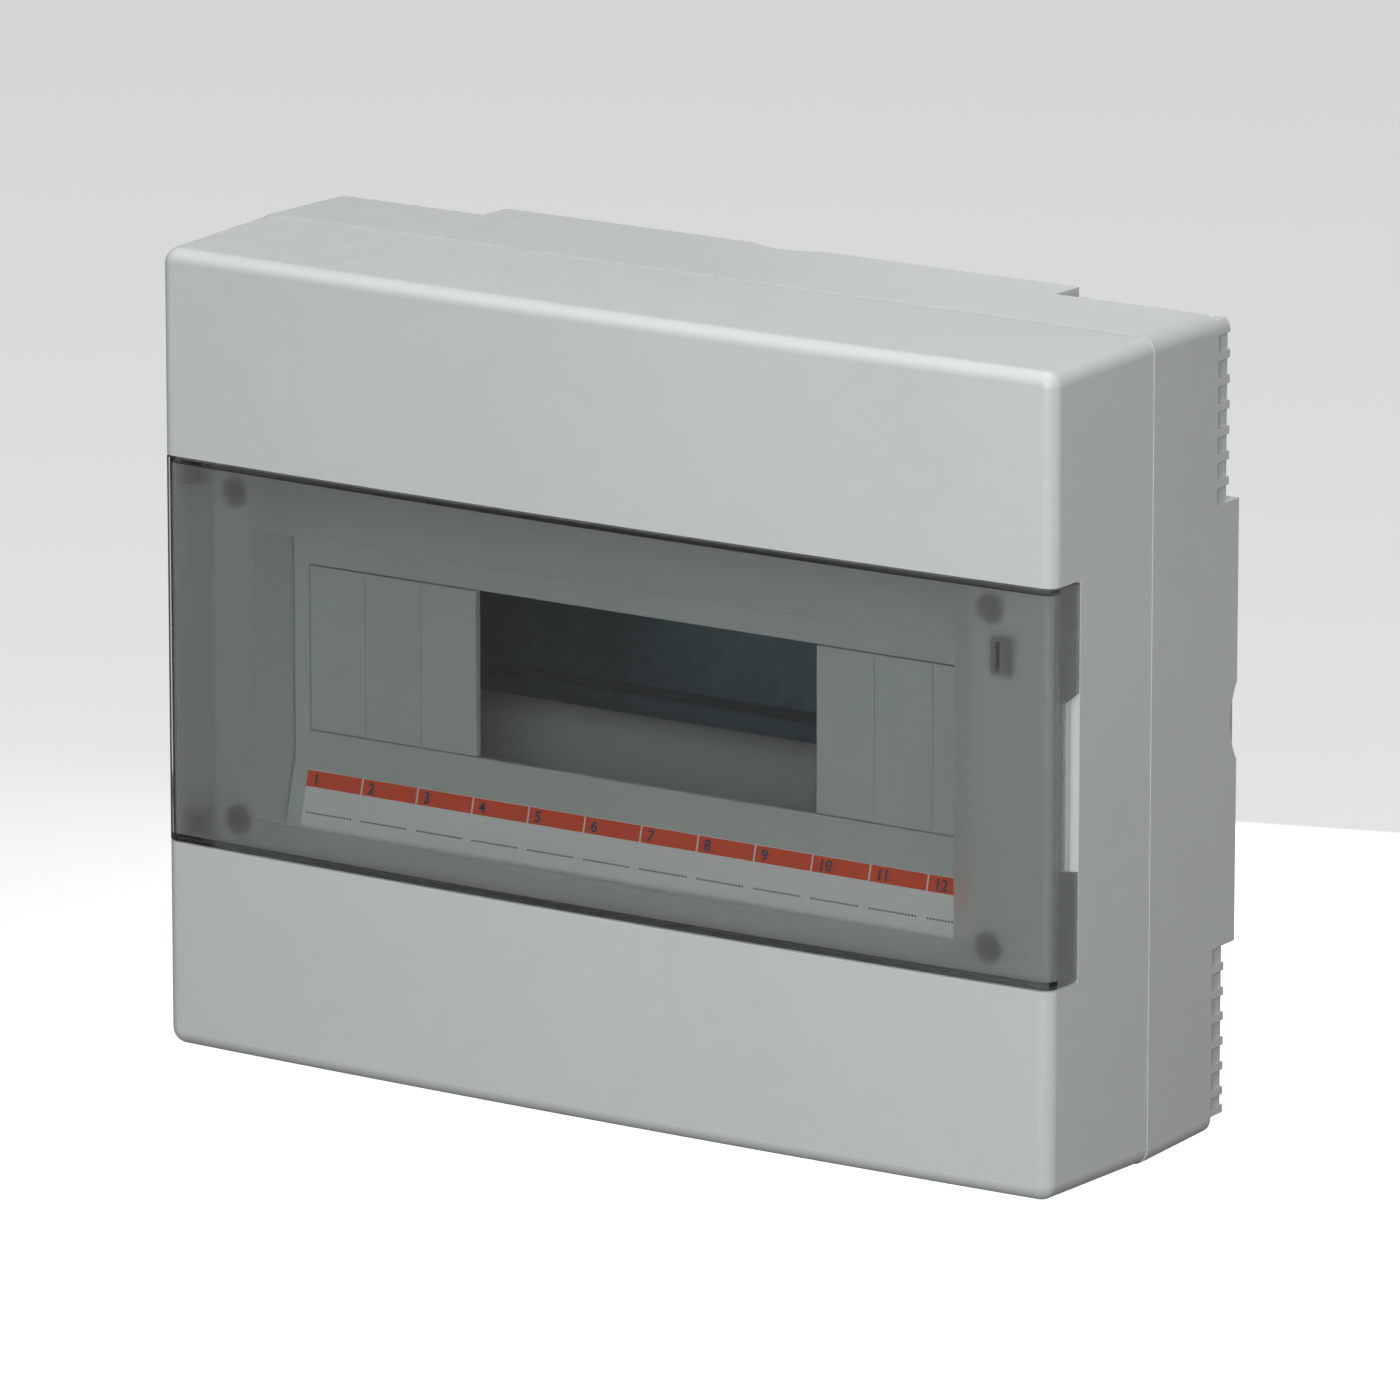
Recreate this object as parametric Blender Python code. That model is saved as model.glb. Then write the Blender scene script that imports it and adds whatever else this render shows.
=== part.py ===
"""Surface-mounted twelve-module breaker box with a smoked door, modelled piece by piece.

Frame: metres, +X to the right, -Y out of the wall, +Z up. The origin is the centre of the wall plane.
Touching pieces keep GAP between them, so that every piece is its own closed solid.
"""

import math

import bmesh
import bpy
from mathutils import Matrix, Vector

GAP = 0.0003
MARGIN = 0.01

# Standard DIN sizes that drive the rest.
MODULE_PITCH = 0.018
MODULES = 12
OPEN_MODULES = 6
CUTOUT_HALF_HEIGHT = 0.0227
RAIL_HALF_HEIGHT = 0.0175
RAIL_CHANNEL_HALF_HEIGHT = 0.0125
RAIL_DEPTH = 0.0075
RAIL_SHEET = 0.001
RAIL_TO_PANEL = 0.0444

# Outer box: widest at the parting line, with draft towards the front and towards the wall.
PARTING_HALF_WIDTH = 0.1415
PARTING_HALF_HEIGHT = 0.1112
FRONT_DRAFT = 0.0011
REAR_DRAFT = 0.0009
PARTING_Y = -0.0445
FRONT_Y = -0.0919
FRONT_BOW = 0.0025
CORNER_RADIUS = 0.0045
FRONT_EDGE_RADIUS = 0.0036
BOW_COLUMNS = 12
WALL = 0.0028

# Rear of the back box: a cross-shaped pad touches the wall, and four ribbed cable corners stand back.
CORNER_STEP_Y = -0.0055
CORNER_RIB_FRONT_Y = -0.0115
PAD_HALF_WIDTH = 0.091
PAD_HALF_HEIGHT = 0.060
CORNER_FLOOR_Y = -0.012
PAD_FLOOR_Y = -0.003
RIB_PITCH = 0.0068
RIB_WIDTH = 0.0022
RIB_DEPTH = 0.0007
RIBS = 7
STRIP_INSET_TOP = 0.0012
STRIP_INSET_BOTTOM = 0.0045
ARC_NOTCH_CHORD = 0.021
ARC_NOTCH_DEPTH = 0.0034
LIP_LENGTH = 0.003
LIP_WALL = 0.0013

# Door recess, the land behind the door's frosted margins and the window well.
SLOT_HALF_HEIGHT = 0.0535
LAND_Y = -0.0865
LAND_BACK_Y = -0.0842
WELL_HALF_WIDTH = 0.1136
WELL_HALF_HEIGHT = 0.050
WELL_WALL = 0.0022
PANEL_Y = -0.0684
PANEL_THICKNESS = 0.0022
PANEL_SLOPE_TOP_Z = -0.0305
PANEL_SLOPE_RUN = 0.0052
LEDGE = 0.0021
LEDGE_BACK_Y = -0.0644
BLANK_WEB = 0.0011
BLANK_HOOK = 0.0013
SIDE_FLOOR_X = 0.1380
POCKET_RIGHT_Y = -0.0786
POCKET_LEFT_Y = -0.0753
POCKET_LEFT_X = -0.1260
POCKET_WALL = 0.0023

# Door: a bowed plate with shallow upper and lower rims, which wraps round both sides and turns on two pins.
DOOR_HALF_HEIGHT = 0.0530
DOOR_THICKNESS = 0.0023
DOOR_BACK_Y = -0.0790
DOOR_RIM = 0.0017
DOOR_RIM_Y = -0.0868
HINGE_X = -0.1345
HINGE_Y = -0.0835
HINGE_PIN_RADIUS = 0.0015
HINGE_PIN_LOW = 0.0460
HINGE_PIN_HIGH = 0.0575
KNUCKLE_LOW = 0.0450
KNUCKLE_HIGH = 0.0526
KNUCKLE_HALF = 0.0032
GRIP_HALF_OUTER = 0.0244
GRIP_HALF_INNER = 0.0224
GRIP_Y = -0.0853
CATCH_X = 0.1235
CATCH_Z = 0.0335
CATCH_HALF_WIDTH = 0.0030
CATCH_HALF_HEIGHT = 0.0050
CATCH_SLOT = 0.0012
TONGUE_HALF = 0.0006
TONGUE_TIP_Y = -0.0873
TONGUE_INSET = 0.001
CATCH_FRONT_Y = -0.0888

# Cover screws.
SCREW_X = 0.1190
SCREW_Z = 0.0453
SLEEVE_RADIUS = 0.0052
TOWER_RADIUS = 0.0050
SCREW_SHANK_RADIUS = 0.0019
SCREW_CLEARANCE_RADIUS = 0.0023
SCREW_HEAD_RADIUS = 0.0039
SCREW_HEAD_HEIGHT = 0.0021
COUNTERBORE_RADIUS = 0.0043
COUNTERBORE_Y = -0.0841
SCREW_TIP_Y = -0.0350
TOWER_HOLE_Y = -0.0300
SLOT_WIDTH = 0.0011
SLOT_DEPTH = 0.0009

# Rail, its brackets and screws.
RAIL_HALF_LENGTH = 0.112
BRACKET_INNER_X = 0.099
RAIL_SCREW_X = 0.1055
RAIL_SCREW_HEAD_RADIUS = 0.0040
RAIL_SCREW_RADIUS = 0.0015
RAIL_HOLE_RADIUS = 0.0021
RAIL_SCREW_TIP_Y = -0.0075

# Terminal bars and their holders.
BAR_Z = 0.085
BAR_HALF_LENGTH = 0.055
BAR_HALF_HEIGHT = 0.0045
BAR_BACK_Y = -0.0245
BAR_THICKNESS = 0.008
TERMINALS = 6
TERMINAL_PITCH = 0.0165
CABLE_HOLE_RADIUS = 0.0026
TERMINAL_SCREW_RADIUS = 0.0016
TERMINAL_HEAD_RADIUS = 0.0024
TERMINAL_HEAD_HEIGHT = 0.0014
TERMINAL_SHANK = 0.0014
TERMINAL_SLOT_WIDTH = 0.0007
TERMINAL_SLOT_DEPTH = 0.00045
HOLDER_HALF_LENGTH = 0.058
HOLDER_BASE = 0.0025
HOLDER_POST = 0.007
HOLDER_HALF_HEIGHT = 0.0065

# Wall fixing holes with insulating caps, and the knock-out for cables that come out of the wall.
FIXING_X = 0.072
FIXING_Z = 0.048
FIXING_RADIUS = 0.00275
CAP_RADIUS = 0.0055
CAP_HEIGHT = 0.0022
CAP_STUB_Y = -0.0007
KNOCKOUT_HALF_WIDTH = 0.030
KNOCKOUT_LOW = 0.036
KNOCKOUT_HIGH = 0.062
KNOCKOUT_GROOVE = 0.0012
KNOCKOUT_WEB_Y = -0.002
KNOCKOUT_ROOT_Y = -0.0025

# Label strip on the sloping ledge.
LABEL_LENGTH = 0.0150
LABEL_START = 0.0030
LABEL_THICKNESS = 0.0005

# Facets: how many sides a round piece has, and which edges count as corners.
ARC_SIDES = 48
ROUND_SIDES = 16
SHANK_SIDES = 12
TINY_SIDES = 8
SHARP_ANGLE = math.radians(35)
RIM_ANGLE = math.radians(45)
CORNER_ANGLE = math.radians(60)
STEEPNESS = 4

AXIS_X = "X"
AXIS_Y = "Y"
AXIS_Z = "Z"
TURN_TO = {
    AXIS_X: Matrix.Rotation(math.radians(90), 4, "Y"),
    AXIS_Y: Matrix.Rotation(math.radians(-90), 4, "X"),
    AXIS_Z: Matrix.Identity(4),
}


def clear_scene():
    for obj in list(bpy.data.objects):
        bpy.data.objects.remove(obj, do_unlink=True)


def make_collection(name):
    collection = bpy.data.collections.new(name)
    bpy.context.scene.collection.children.link(collection)
    return collection


def make_material(name, colour, roughness, metallic=0.0, alpha=1.0):
    made = bpy.data.materials.new(name)
    made.use_nodes = True
    shader = made.node_tree.nodes["Principled BSDF"]
    shader.inputs["Base Color"].default_value = (*colour, 1.0)
    shader.inputs["Roughness"].default_value = roughness
    shader.inputs["Metallic"].default_value = metallic
    shader.inputs["Alpha"].default_value = alpha
    made.diffuse_color = (*colour, alpha)
    return made


def add_box(bm, x, y, z):
    """A box between the pairs x, y and z; returns its vertices."""
    size = Vector((x[1] - x[0], y[1] - y[0], z[1] - z[0]))
    centre = Vector((sum(x), sum(y), sum(z))) / 2
    made = bmesh.ops.create_cube(bm, size=1.0)["verts"]
    bmesh.ops.scale(bm, vec=size, verts=made)
    bmesh.ops.translate(bm, vec=centre, verts=made)
    return made


def add_cylinder(bm, axis, centre, span, radius, sides=ROUND_SIDES):
    """A cylinder along axis between the two values of span, through centre's other coordinates."""
    length = span[1] - span[0]
    index = "XYZ".index(axis)
    place = Vector(centre)
    place[index] = (span[0] + span[1]) / 2
    bmesh.ops.create_cone(
        bm,
        cap_ends=True,
        segments=sides,
        radius1=radius,
        radius2=radius,
        depth=length,
        matrix=Matrix.Translation(place) @ TURN_TO[axis],
    )


def finish_mesh(name, bm, collection):
    bmesh.ops.recalc_face_normals(bm, faces=bm.faces)
    mesh = bpy.data.meshes.new(name)
    bm.to_mesh(mesh)
    bm.free()
    obj = bpy.data.objects.new(name, mesh)
    collection.objects.link(obj)
    return obj


def finish_part(name, bm, material):
    obj = finish_mesh(name, bm, PARTS)
    obj.data.materials.append(material)
    return obj


def shade(obj):
    obj.data.shade_smooth()
    obj.data.set_sharp_from_angle(angle=SHARP_ANGLE)


def helper(name, bm):
    obj = finish_mesh(name, bm, CUTTERS)
    obj.hide_render = True
    obj.display_type = "WIRE"
    return obj


def apply_helper(obj, other, operation):
    modifier = obj.modifiers.new(other.name, "BOOLEAN")
    modifier.operation = operation
    modifier.object = other
    modifier.solver = "EXACT"


def cut_box(obj, name, x, y, z):
    bm = bmesh.new()
    add_box(bm, x, y, z)
    apply_helper(obj, helper(name, bm), "DIFFERENCE")


def join_box(obj, name, x, y, z):
    bm = bmesh.new()
    add_box(bm, x, y, z)
    apply_helper(obj, helper(name, bm), "UNION")


def cut_cylinders(obj, name, axis, centres, span, radius, sides=ROUND_SIDES):
    bm = bmesh.new()
    for centre in centres:
        add_cylinder(bm, axis, centre, span, radius, sides)
    apply_helper(obj, helper(name, bm), "DIFFERENCE")


def join_cylinders(obj, name, axis, centres, span, radius, sides=ROUND_SIDES):
    bm = bmesh.new()
    for centre in centres:
        add_cylinder(bm, axis, centre, span, radius, sides)
    apply_helper(obj, helper(name, bm), "UNION")


def tapered_block(back, front, back_y, front_y, bow=0.0, low=None, high=None):
    """A block between two rectangles given as (half width, half height), its front bowed outward in plan."""
    bm = bmesh.new()
    verts = add_box(bm, (-1, 1), (front_y, back_y), (-1, 1))
    for vert in verts:
        half = front if vert.co.y < (back_y + front_y) / 2 else back
        top = half[1] if high is None else high
        bottom = -half[1] if low is None else low
        vert.co.x *= half[0]
        vert.co.z = top if vert.co.z > 0 else bottom
    if bow:
        along = [e for e in bm.edges if abs(e.verts[0].co.x - e.verts[1].co.x) > front[0]]
        bmesh.ops.subdivide_edges(bm, edges=along, cuts=BOW_COLUMNS - 1, use_grid_fill=True)
        for vert in bm.verts:
            if abs(vert.co.y - front_y) < GAP:
                vert.co.y -= bow * (1 - (vert.co.x / front[0]) ** 2)
    return bm


def round_edges(bm, wanted, radius, segments=3):
    chosen = [edge for edge in bm.edges if wanted(edge)]
    bmesh.ops.bevel(
        bm,
        geom=chosen,
        offset=radius,
        offset_type="OFFSET",
        affect="EDGES",
        segments=segments,
        profile=0.5,
        material=-1,
        clamp_overlap=True,
    )


def runs_along_y(edge):
    first, second = (vert.co for vert in edge.verts)
    across = Vector((first.x - second.x, first.z - second.z)).length
    return abs(first.y - second.y) > STEEPNESS * across and edge.calc_face_angle(0) > CORNER_ANGLE


def on_front_rim(edge):
    """Edges round the bowed front: both ends on the front face, and a corner between the two faces."""
    limit = FRONT_Y + GAP
    return all(v.co.y < limit for v in edge.verts) and edge.calc_face_angle(0) > RIM_ANGLE


def corner_centres():
    return [(sx * SCREW_X, 0, sz * SCREW_Z) for sz in (1, -1) for sx in (-1, 1)]


def outline_part(name, points, half_length, material):
    """A solid from a closed outline of (y, z) points, extruded both ways along X."""
    curve = bpy.data.curves.new(name, "CURVE")
    curve.dimensions = "2D"
    curve.fill_mode = "BOTH"
    curve.extrude = half_length
    spline = curve.splines.new("POLY")
    spline.points.add(len(points) - 1)
    for point, (y, z) in zip(spline.points, points):
        point.co = (y, z, 0, 1)
    spline.use_cyclic_u = True
    drawn = bpy.data.objects.new(name + "_outline", curve)
    CUTTERS.objects.link(drawn)
    bpy.context.view_layer.update()
    graph = bpy.context.evaluated_depsgraph_get()
    mesh = bpy.data.meshes.new_from_object(drawn.evaluated_get(graph))
    bpy.data.objects.remove(drawn, do_unlink=True)
    bm = bmesh.new()
    bm.from_mesh(mesh)
    bpy.data.meshes.remove(mesh)
    bmesh.ops.remove_doubles(bm, verts=bm.verts, dist=GAP / 100)
    turn = Matrix(((0, 0, 1, 0), (1, 0, 0, 0), (0, 1, 0, 0), (0, 0, 0, 1)))
    bmesh.ops.transform(bm, matrix=turn, verts=bm.verts)
    return finish_part(name, bm, material)


def make_back_box():
    rear = (PARTING_HALF_WIDTH - REAR_DRAFT, PARTING_HALF_HEIGHT - REAR_DRAFT)
    parting = (PARTING_HALF_WIDTH, PARTING_HALF_HEIGHT)
    bm = tapered_block(rear, parting, 0, PARTING_Y)
    round_edges(bm, runs_along_y, CORNER_RADIUS)
    box = finish_part("back_box", bm, SHELL_GREY)
    inner_x = PARTING_HALF_WIDTH - WALL - REAR_DRAFT
    inner_z = PARTING_HALF_HEIGHT - WALL - REAR_DRAFT
    lip_x = PARTING_HALF_WIDTH - FRONT_DRAFT - WALL - 2 * GAP
    lip_z = PARTING_HALF_HEIGHT - FRONT_DRAFT - WALL - 2 * GAP
    lip_y = (PARTING_Y - LIP_LENGTH, PARTING_Y + WALL)
    join_box(box, "lip_block", (-lip_x, lip_x), lip_y, (-lip_z, lip_z))
    mouth_x = (LIP_WALL - lip_x, lip_x - LIP_WALL)
    mouth_z = (LIP_WALL - lip_z, lip_z - LIP_WALL)
    cut_box(box, "mouth", mouth_x, (lip_y[0] - MARGIN, lip_y[1] + WALL), mouth_z)
    hollow_x = (-inner_x, inner_x)
    hollow_z = (-inner_z, inner_z)
    cut_box(box, "main_cavity", hollow_x, (lip_y[1], CORNER_FLOOR_Y), hollow_z)
    deep = (CORNER_FLOOR_Y - WALL, PAD_FLOOR_Y)
    pad_x = PAD_HALF_WIDTH - WALL
    pad_z = PAD_HALF_HEIGHT - WALL
    cut_box(box, "upright_cavity", (-pad_x, pad_x), deep, hollow_z)
    cut_box(box, "level_cavity", hollow_x, deep, (-pad_z, pad_z))
    for sx in (-1, 1):
        for sz in (-1, 1):
            cut_cable_corner(box, sx, sz, rear)
    cut_arc_notches(box, rear)
    tower = (PARTING_Y - GAP, PAD_FLOOR_Y + WALL / 2)
    join_cylinders(box, "towers", AXIS_Y, corner_centres(), tower, TOWER_RADIUS)
    tower_hole = (PARTING_Y - MARGIN, TOWER_HOLE_Y)
    cut_cylinders(box, "tower_holes", AXIS_Y, corner_centres(), tower_hole, SCREW_CLEARANCE_RADIUS)
    fixing_hole = (PAD_FLOOR_Y - MARGIN / 2, MARGIN)
    cut_cylinders(box, "fixing_holes", AXIS_Y, fixing_centres(), fixing_hole, FIXING_RADIUS)
    score_knockout(box)
    shade(box)


def score_knockout(box):
    """A groove round a thin plate in the wall pad, which a fitter breaks out for cables."""
    outer_x = (-KNOCKOUT_HALF_WIDTH, KNOCKOUT_HALF_WIDTH)
    outer_z = (KNOCKOUT_LOW, KNOCKOUT_HIGH)
    cut_box(box, "knockout_groove", outer_x, (KNOCKOUT_WEB_Y, MARGIN), outer_z)
    plate_x = (KNOCKOUT_GROOVE - KNOCKOUT_HALF_WIDTH, KNOCKOUT_HALF_WIDTH - KNOCKOUT_GROOVE)
    plate_z = (KNOCKOUT_LOW + KNOCKOUT_GROOVE, KNOCKOUT_HIGH - KNOCKOUT_GROOVE)
    join_box(box, "knockout_plate", plate_x, (KNOCKOUT_ROOT_Y, 0), plate_z)


def pair(first, second):
    return (min(first, second), max(first, second))


def cut_cable_corner(box, sx, sz, rear):
    """One ribbed corner: it stands back from the wall, and its edge strip carries ribs at an even pitch."""
    name = ("right" if sx > 0 else "left") + ("_upper" if sz > 0 else "_lower")
    far_x = sx * (PARTING_HALF_WIDTH + MARGIN)
    far_z = sz * (PARTING_HALF_HEIGHT + MARGIN)
    near_x = sx * PAD_HALF_WIDTH
    near_z = sz * PAD_HALF_HEIGHT
    cut_box(box, name + "_step", pair(near_x, far_x), (CORNER_STEP_Y, MARGIN), pair(near_z, far_z))
    inset = STRIP_INSET_TOP if sz > 0 else STRIP_INSET_BOTTOM
    strip_z = rear[1] - inset
    strip_y = (CORNER_RIB_FRONT_Y, MARGIN)
    cut_box(box, name + "_strip", pair(near_x, far_x), strip_y, pair(sz * strip_z, far_z))
    bm = bmesh.new()
    groove = RIB_PITCH - RIB_WIDTH
    for index in range(RIBS):
        start = PAD_HALF_HEIGHT + index * RIB_PITCH
        end = min(start + groove, strip_z - RIB_WIDTH)
        add_box(bm, pair(sx * (rear[0] - RIB_DEPTH), far_x), strip_y, pair(sz * start, sz * end))
    for index in range(RIBS):
        start = PAD_HALF_WIDTH + index * RIB_PITCH
        end = min(start + groove, rear[0] - RIB_WIDTH)
        add_box(bm, pair(sx * start, sx * end), strip_y, pair(sz * (strip_z - RIB_DEPTH), far_z))
    apply_helper(box, helper(name + "_grooves", bm), "DIFFERENCE")


def cut_arc_notches(box, rear):
    """A shallow arc in the middle of each rear edge, cut by a cylinder whose chord is ARC_NOTCH_CHORD."""
    half = ARC_NOTCH_CHORD / 2
    radius = (half**2 + ARC_NOTCH_DEPTH**2) / (2 * ARC_NOTCH_DEPTH)
    centre_y = radius - ARC_NOTCH_DEPTH
    inner_x = rear[0] - WALL / 2
    inner_z = rear[1] - WALL / 2
    for sign, name in ((1, "upper_arc"), (-1, "lower_arc")):
        span = pair(sign * inner_z, sign * (rear[1] + MARGIN))
        cut_cylinders(box, name, AXIS_Z, [(0, centre_y, 0)], span, radius, ARC_SIDES)
    for sign, name in ((1, "right_arc"), (-1, "left_arc")):
        span = pair(sign * inner_x, sign * (rear[0] + MARGIN))
        cut_cylinders(box, name, AXIS_X, [(0, centre_y, 0)], span, radius, ARC_SIDES)


def make_front_cover():
    front = (PARTING_HALF_WIDTH - FRONT_DRAFT, PARTING_HALF_HEIGHT - FRONT_DRAFT)
    parting = (PARTING_HALF_WIDTH, PARTING_HALF_HEIGHT)
    bm = tapered_block(parting, front, PARTING_Y - GAP, FRONT_Y, FRONT_BOW)
    round_edges(bm, runs_along_y, CORNER_RADIUS)
    round_edges(bm, on_front_rim, FRONT_EDGE_RADIUS)
    cover = finish_part("front_cover", bm, SHELL_GREY)
    hollow_front_cover(cover, front)
    cut_door_recess(cover)
    sleeve = (LAND_BACK_Y - GAP, PARTING_Y - 2 * GAP)
    join_cylinders(cover, "sleeves", AXIS_Y, corner_centres(), sleeve, SLEEVE_RADIUS)
    front_span = (FRONT_Y - MARGIN, COUNTERBORE_Y)
    cut_cylinders(cover, "counterbores", AXIS_Y, corner_centres(), front_span, COUNTERBORE_RADIUS)
    through = (FRONT_Y - MARGIN, PARTING_Y + MARGIN)
    cut_cylinders(cover, "screw_holes", AXIS_Y, corner_centres(), through, SCREW_CLEARANCE_RADIUS)
    for sign, name in ((1, "upper_pin_hole"), (-1, "lower_pin_hole")):
        span = pair(sign * (SLOT_HALF_HEIGHT - WALL), sign * (SLOT_HALF_HEIGHT + 2 * WALL))
        cut_cylinders(cover, name, AXIS_Z, [(HINGE_X, HINGE_Y, 0)], span, HINGE_PIN_RADIUS + GAP)
    shade(cover)


def hollow_front_cover(cover, front):
    inner = (front[0] - WALL, front[1] - WALL)
    behind = PARTING_Y + MARGIN
    tray_z = SLOT_HALF_HEIGHT + POCKET_WALL
    cut_box(cover, "rear_hollow", (-inner[0], inner[0]), (LEDGE_BACK_Y, behind), (-inner[1], inner[1]))
    for sign, name in ((1, "upper_band_hollow"), (-1, "lower_band_hollow")):
        low, high = pair(sign * tray_z, sign * inner[1])
        bm = tapered_block(inner, inner, LEDGE_BACK_Y + WALL, FRONT_Y + WALL, FRONT_BOW, low, high)
        apply_helper(cover, helper(name, bm), "DIFFERENCE")
    ring_x = WELL_HALF_WIDTH + WELL_WALL
    land_z = (GAP - SLOT_HALF_HEIGHT, SLOT_HALF_HEIGHT - GAP)
    side_z = (-tray_z - WALL, tray_z + WALL)
    side_x = inner[0] + GAP
    back = LEDGE_BACK_Y + WALL
    left_inner = POCKET_LEFT_X + POCKET_WALL
    right_inner = SIDE_FLOOR_X - POCKET_WALL
    left_y = POCKET_LEFT_Y + POCKET_WALL
    right_y = POCKET_RIGHT_Y + POCKET_WALL
    cut_box(cover, "left_land_hollow", (left_inner, -ring_x - GAP), (LAND_BACK_Y, left_y + GAP), land_z)
    cut_box(cover, "left_side_hollow", (-side_x, -ring_x), (left_y, back), side_z)
    cut_box(cover, "right_land_hollow", (ring_x + GAP, right_inner), (LAND_BACK_Y, right_y + GAP), land_z)
    cut_box(cover, "right_side_hollow", (ring_x, side_x), (right_y, back), side_z)


def cut_door_recess(cover):
    ahead = FRONT_Y - MARGIN
    far = PARTING_HALF_WIDTH + MARGIN
    slot_z = (-SLOT_HALF_HEIGHT, SLOT_HALF_HEIGHT)
    cut_box(cover, "door_slot", (-far, far), (ahead, LAND_Y), slot_z)
    cut_box(cover, "left_pocket", (-far, POCKET_LEFT_X), (ahead, POCKET_LEFT_Y), slot_z)
    cut_box(cover, "right_pocket", (SIDE_FLOOR_X, far), (ahead, POCKET_RIGHT_Y), slot_z)
    well_x = (-WELL_HALF_WIDTH, WELL_HALF_WIDTH)
    well_z = (-WELL_HALF_HEIGHT, WELL_HALF_HEIGHT)
    seat_y = PANEL_Y + PANEL_THICKNESS + GAP
    cut_box(cover, "window_well", well_x, (ahead, seat_y), well_z)
    ledge_x = WELL_HALF_WIDTH - LEDGE
    ledge_z = WELL_HALF_HEIGHT - LEDGE
    cut_box(cover, "ledge_opening", (-ledge_x, ledge_x), (ahead, LEDGE_BACK_Y + MARGIN), (-ledge_z, ledge_z))


def slope_y(z):
    """Front face of the panel's forward-leaning lower part, at height z."""
    low = -WELL_HALF_HEIGHT + GAP
    return PANEL_Y - PANEL_SLOPE_RUN * (PANEL_SLOPE_TOP_Z - z) / (PANEL_SLOPE_TOP_Z - low)


def make_breaker_panel():
    top = WELL_HALF_HEIGHT - GAP
    low = -top
    back = PANEL_Y + PANEL_THICKNESS
    outline = [
        (PANEL_Y, top),
        (PANEL_Y, PANEL_SLOPE_TOP_Z),
        (slope_y(low), low),
        (slope_y(low) + PANEL_THICKNESS, low),
        (back, PANEL_SLOPE_TOP_Z),
        (back, top),
    ]
    panel = outline_part("breaker_panel", outline, WELL_HALF_WIDTH - GAP, SHELL_GREY)
    half = MODULES / 2 * MODULE_PITCH + GAP
    high = CUTOUT_HALF_HEIGHT + GAP
    cut_box(panel, "module_row", (-half, half), (PANEL_Y - MARGIN / 2, PANEL_Y + MARGIN / 2), (-high, high))


def make_blank(number, centre_x):
    """A snap-in filler for one unused module, with a hooked lip behind the panel at its top and bottom."""
    half = MODULE_PITCH / 2 - GAP / 2
    clip = MODULE_PITCH / 4
    lip_front = PANEL_Y + PANEL_THICKNESS + GAP
    lip_back = lip_front + BLANK_HOOK
    bm = bmesh.new()
    z_plate = (-CUTOUT_HALF_HEIGHT, CUTOUT_HALF_HEIGHT)
    add_box(bm, (centre_x - half, centre_x + half), (PANEL_Y, PANEL_Y + PANEL_THICKNESS), z_plate)
    blank = finish_part(f"module_blank_{number}", bm, SHELL_GREY)
    for sign, name in ((1, "top"), (-1, "bottom")):
        clip_x = (centre_x - clip, centre_x + clip)
        web_z = pair(sign * (CUTOUT_HALF_HEIGHT - BLANK_WEB), sign * CUTOUT_HALF_HEIGHT)
        lip_z = pair(sign * (CUTOUT_HALF_HEIGHT - BLANK_WEB), sign * (CUTOUT_HALF_HEIGHT + BLANK_WEB))
        join_box(blank, f"blank_{number}_{name}_web", clip_x, (PANEL_Y + GAP, lip_back - GAP), web_z)
        join_box(blank, f"blank_{number}_{name}_hook", clip_x, (lip_front, lip_back), lip_z)


def make_blanks():
    side_count = (MODULES - OPEN_MODULES) // 2
    number = 1
    for sign in (-1, 1):
        for step in range(side_count):
            inward = (MODULES / 2 - 0.5 - step) * MODULE_PITCH
            make_blank(number, sign * inward)
            number += 1


def make_label_strip():
    start = PANEL_SLOPE_TOP_Z - LABEL_START
    end = start - LABEL_LENGTH
    lift = LABEL_THICKNESS + GAP
    outline = [
        (slope_y(start) - GAP, start),
        (slope_y(start) - lift, start),
        (slope_y(end) - lift, end),
        (slope_y(end) - GAP, end),
    ]
    outline_part("label_strip", outline, MODULES / 2 * MODULE_PITCH, LABEL_WHITE)


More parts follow.
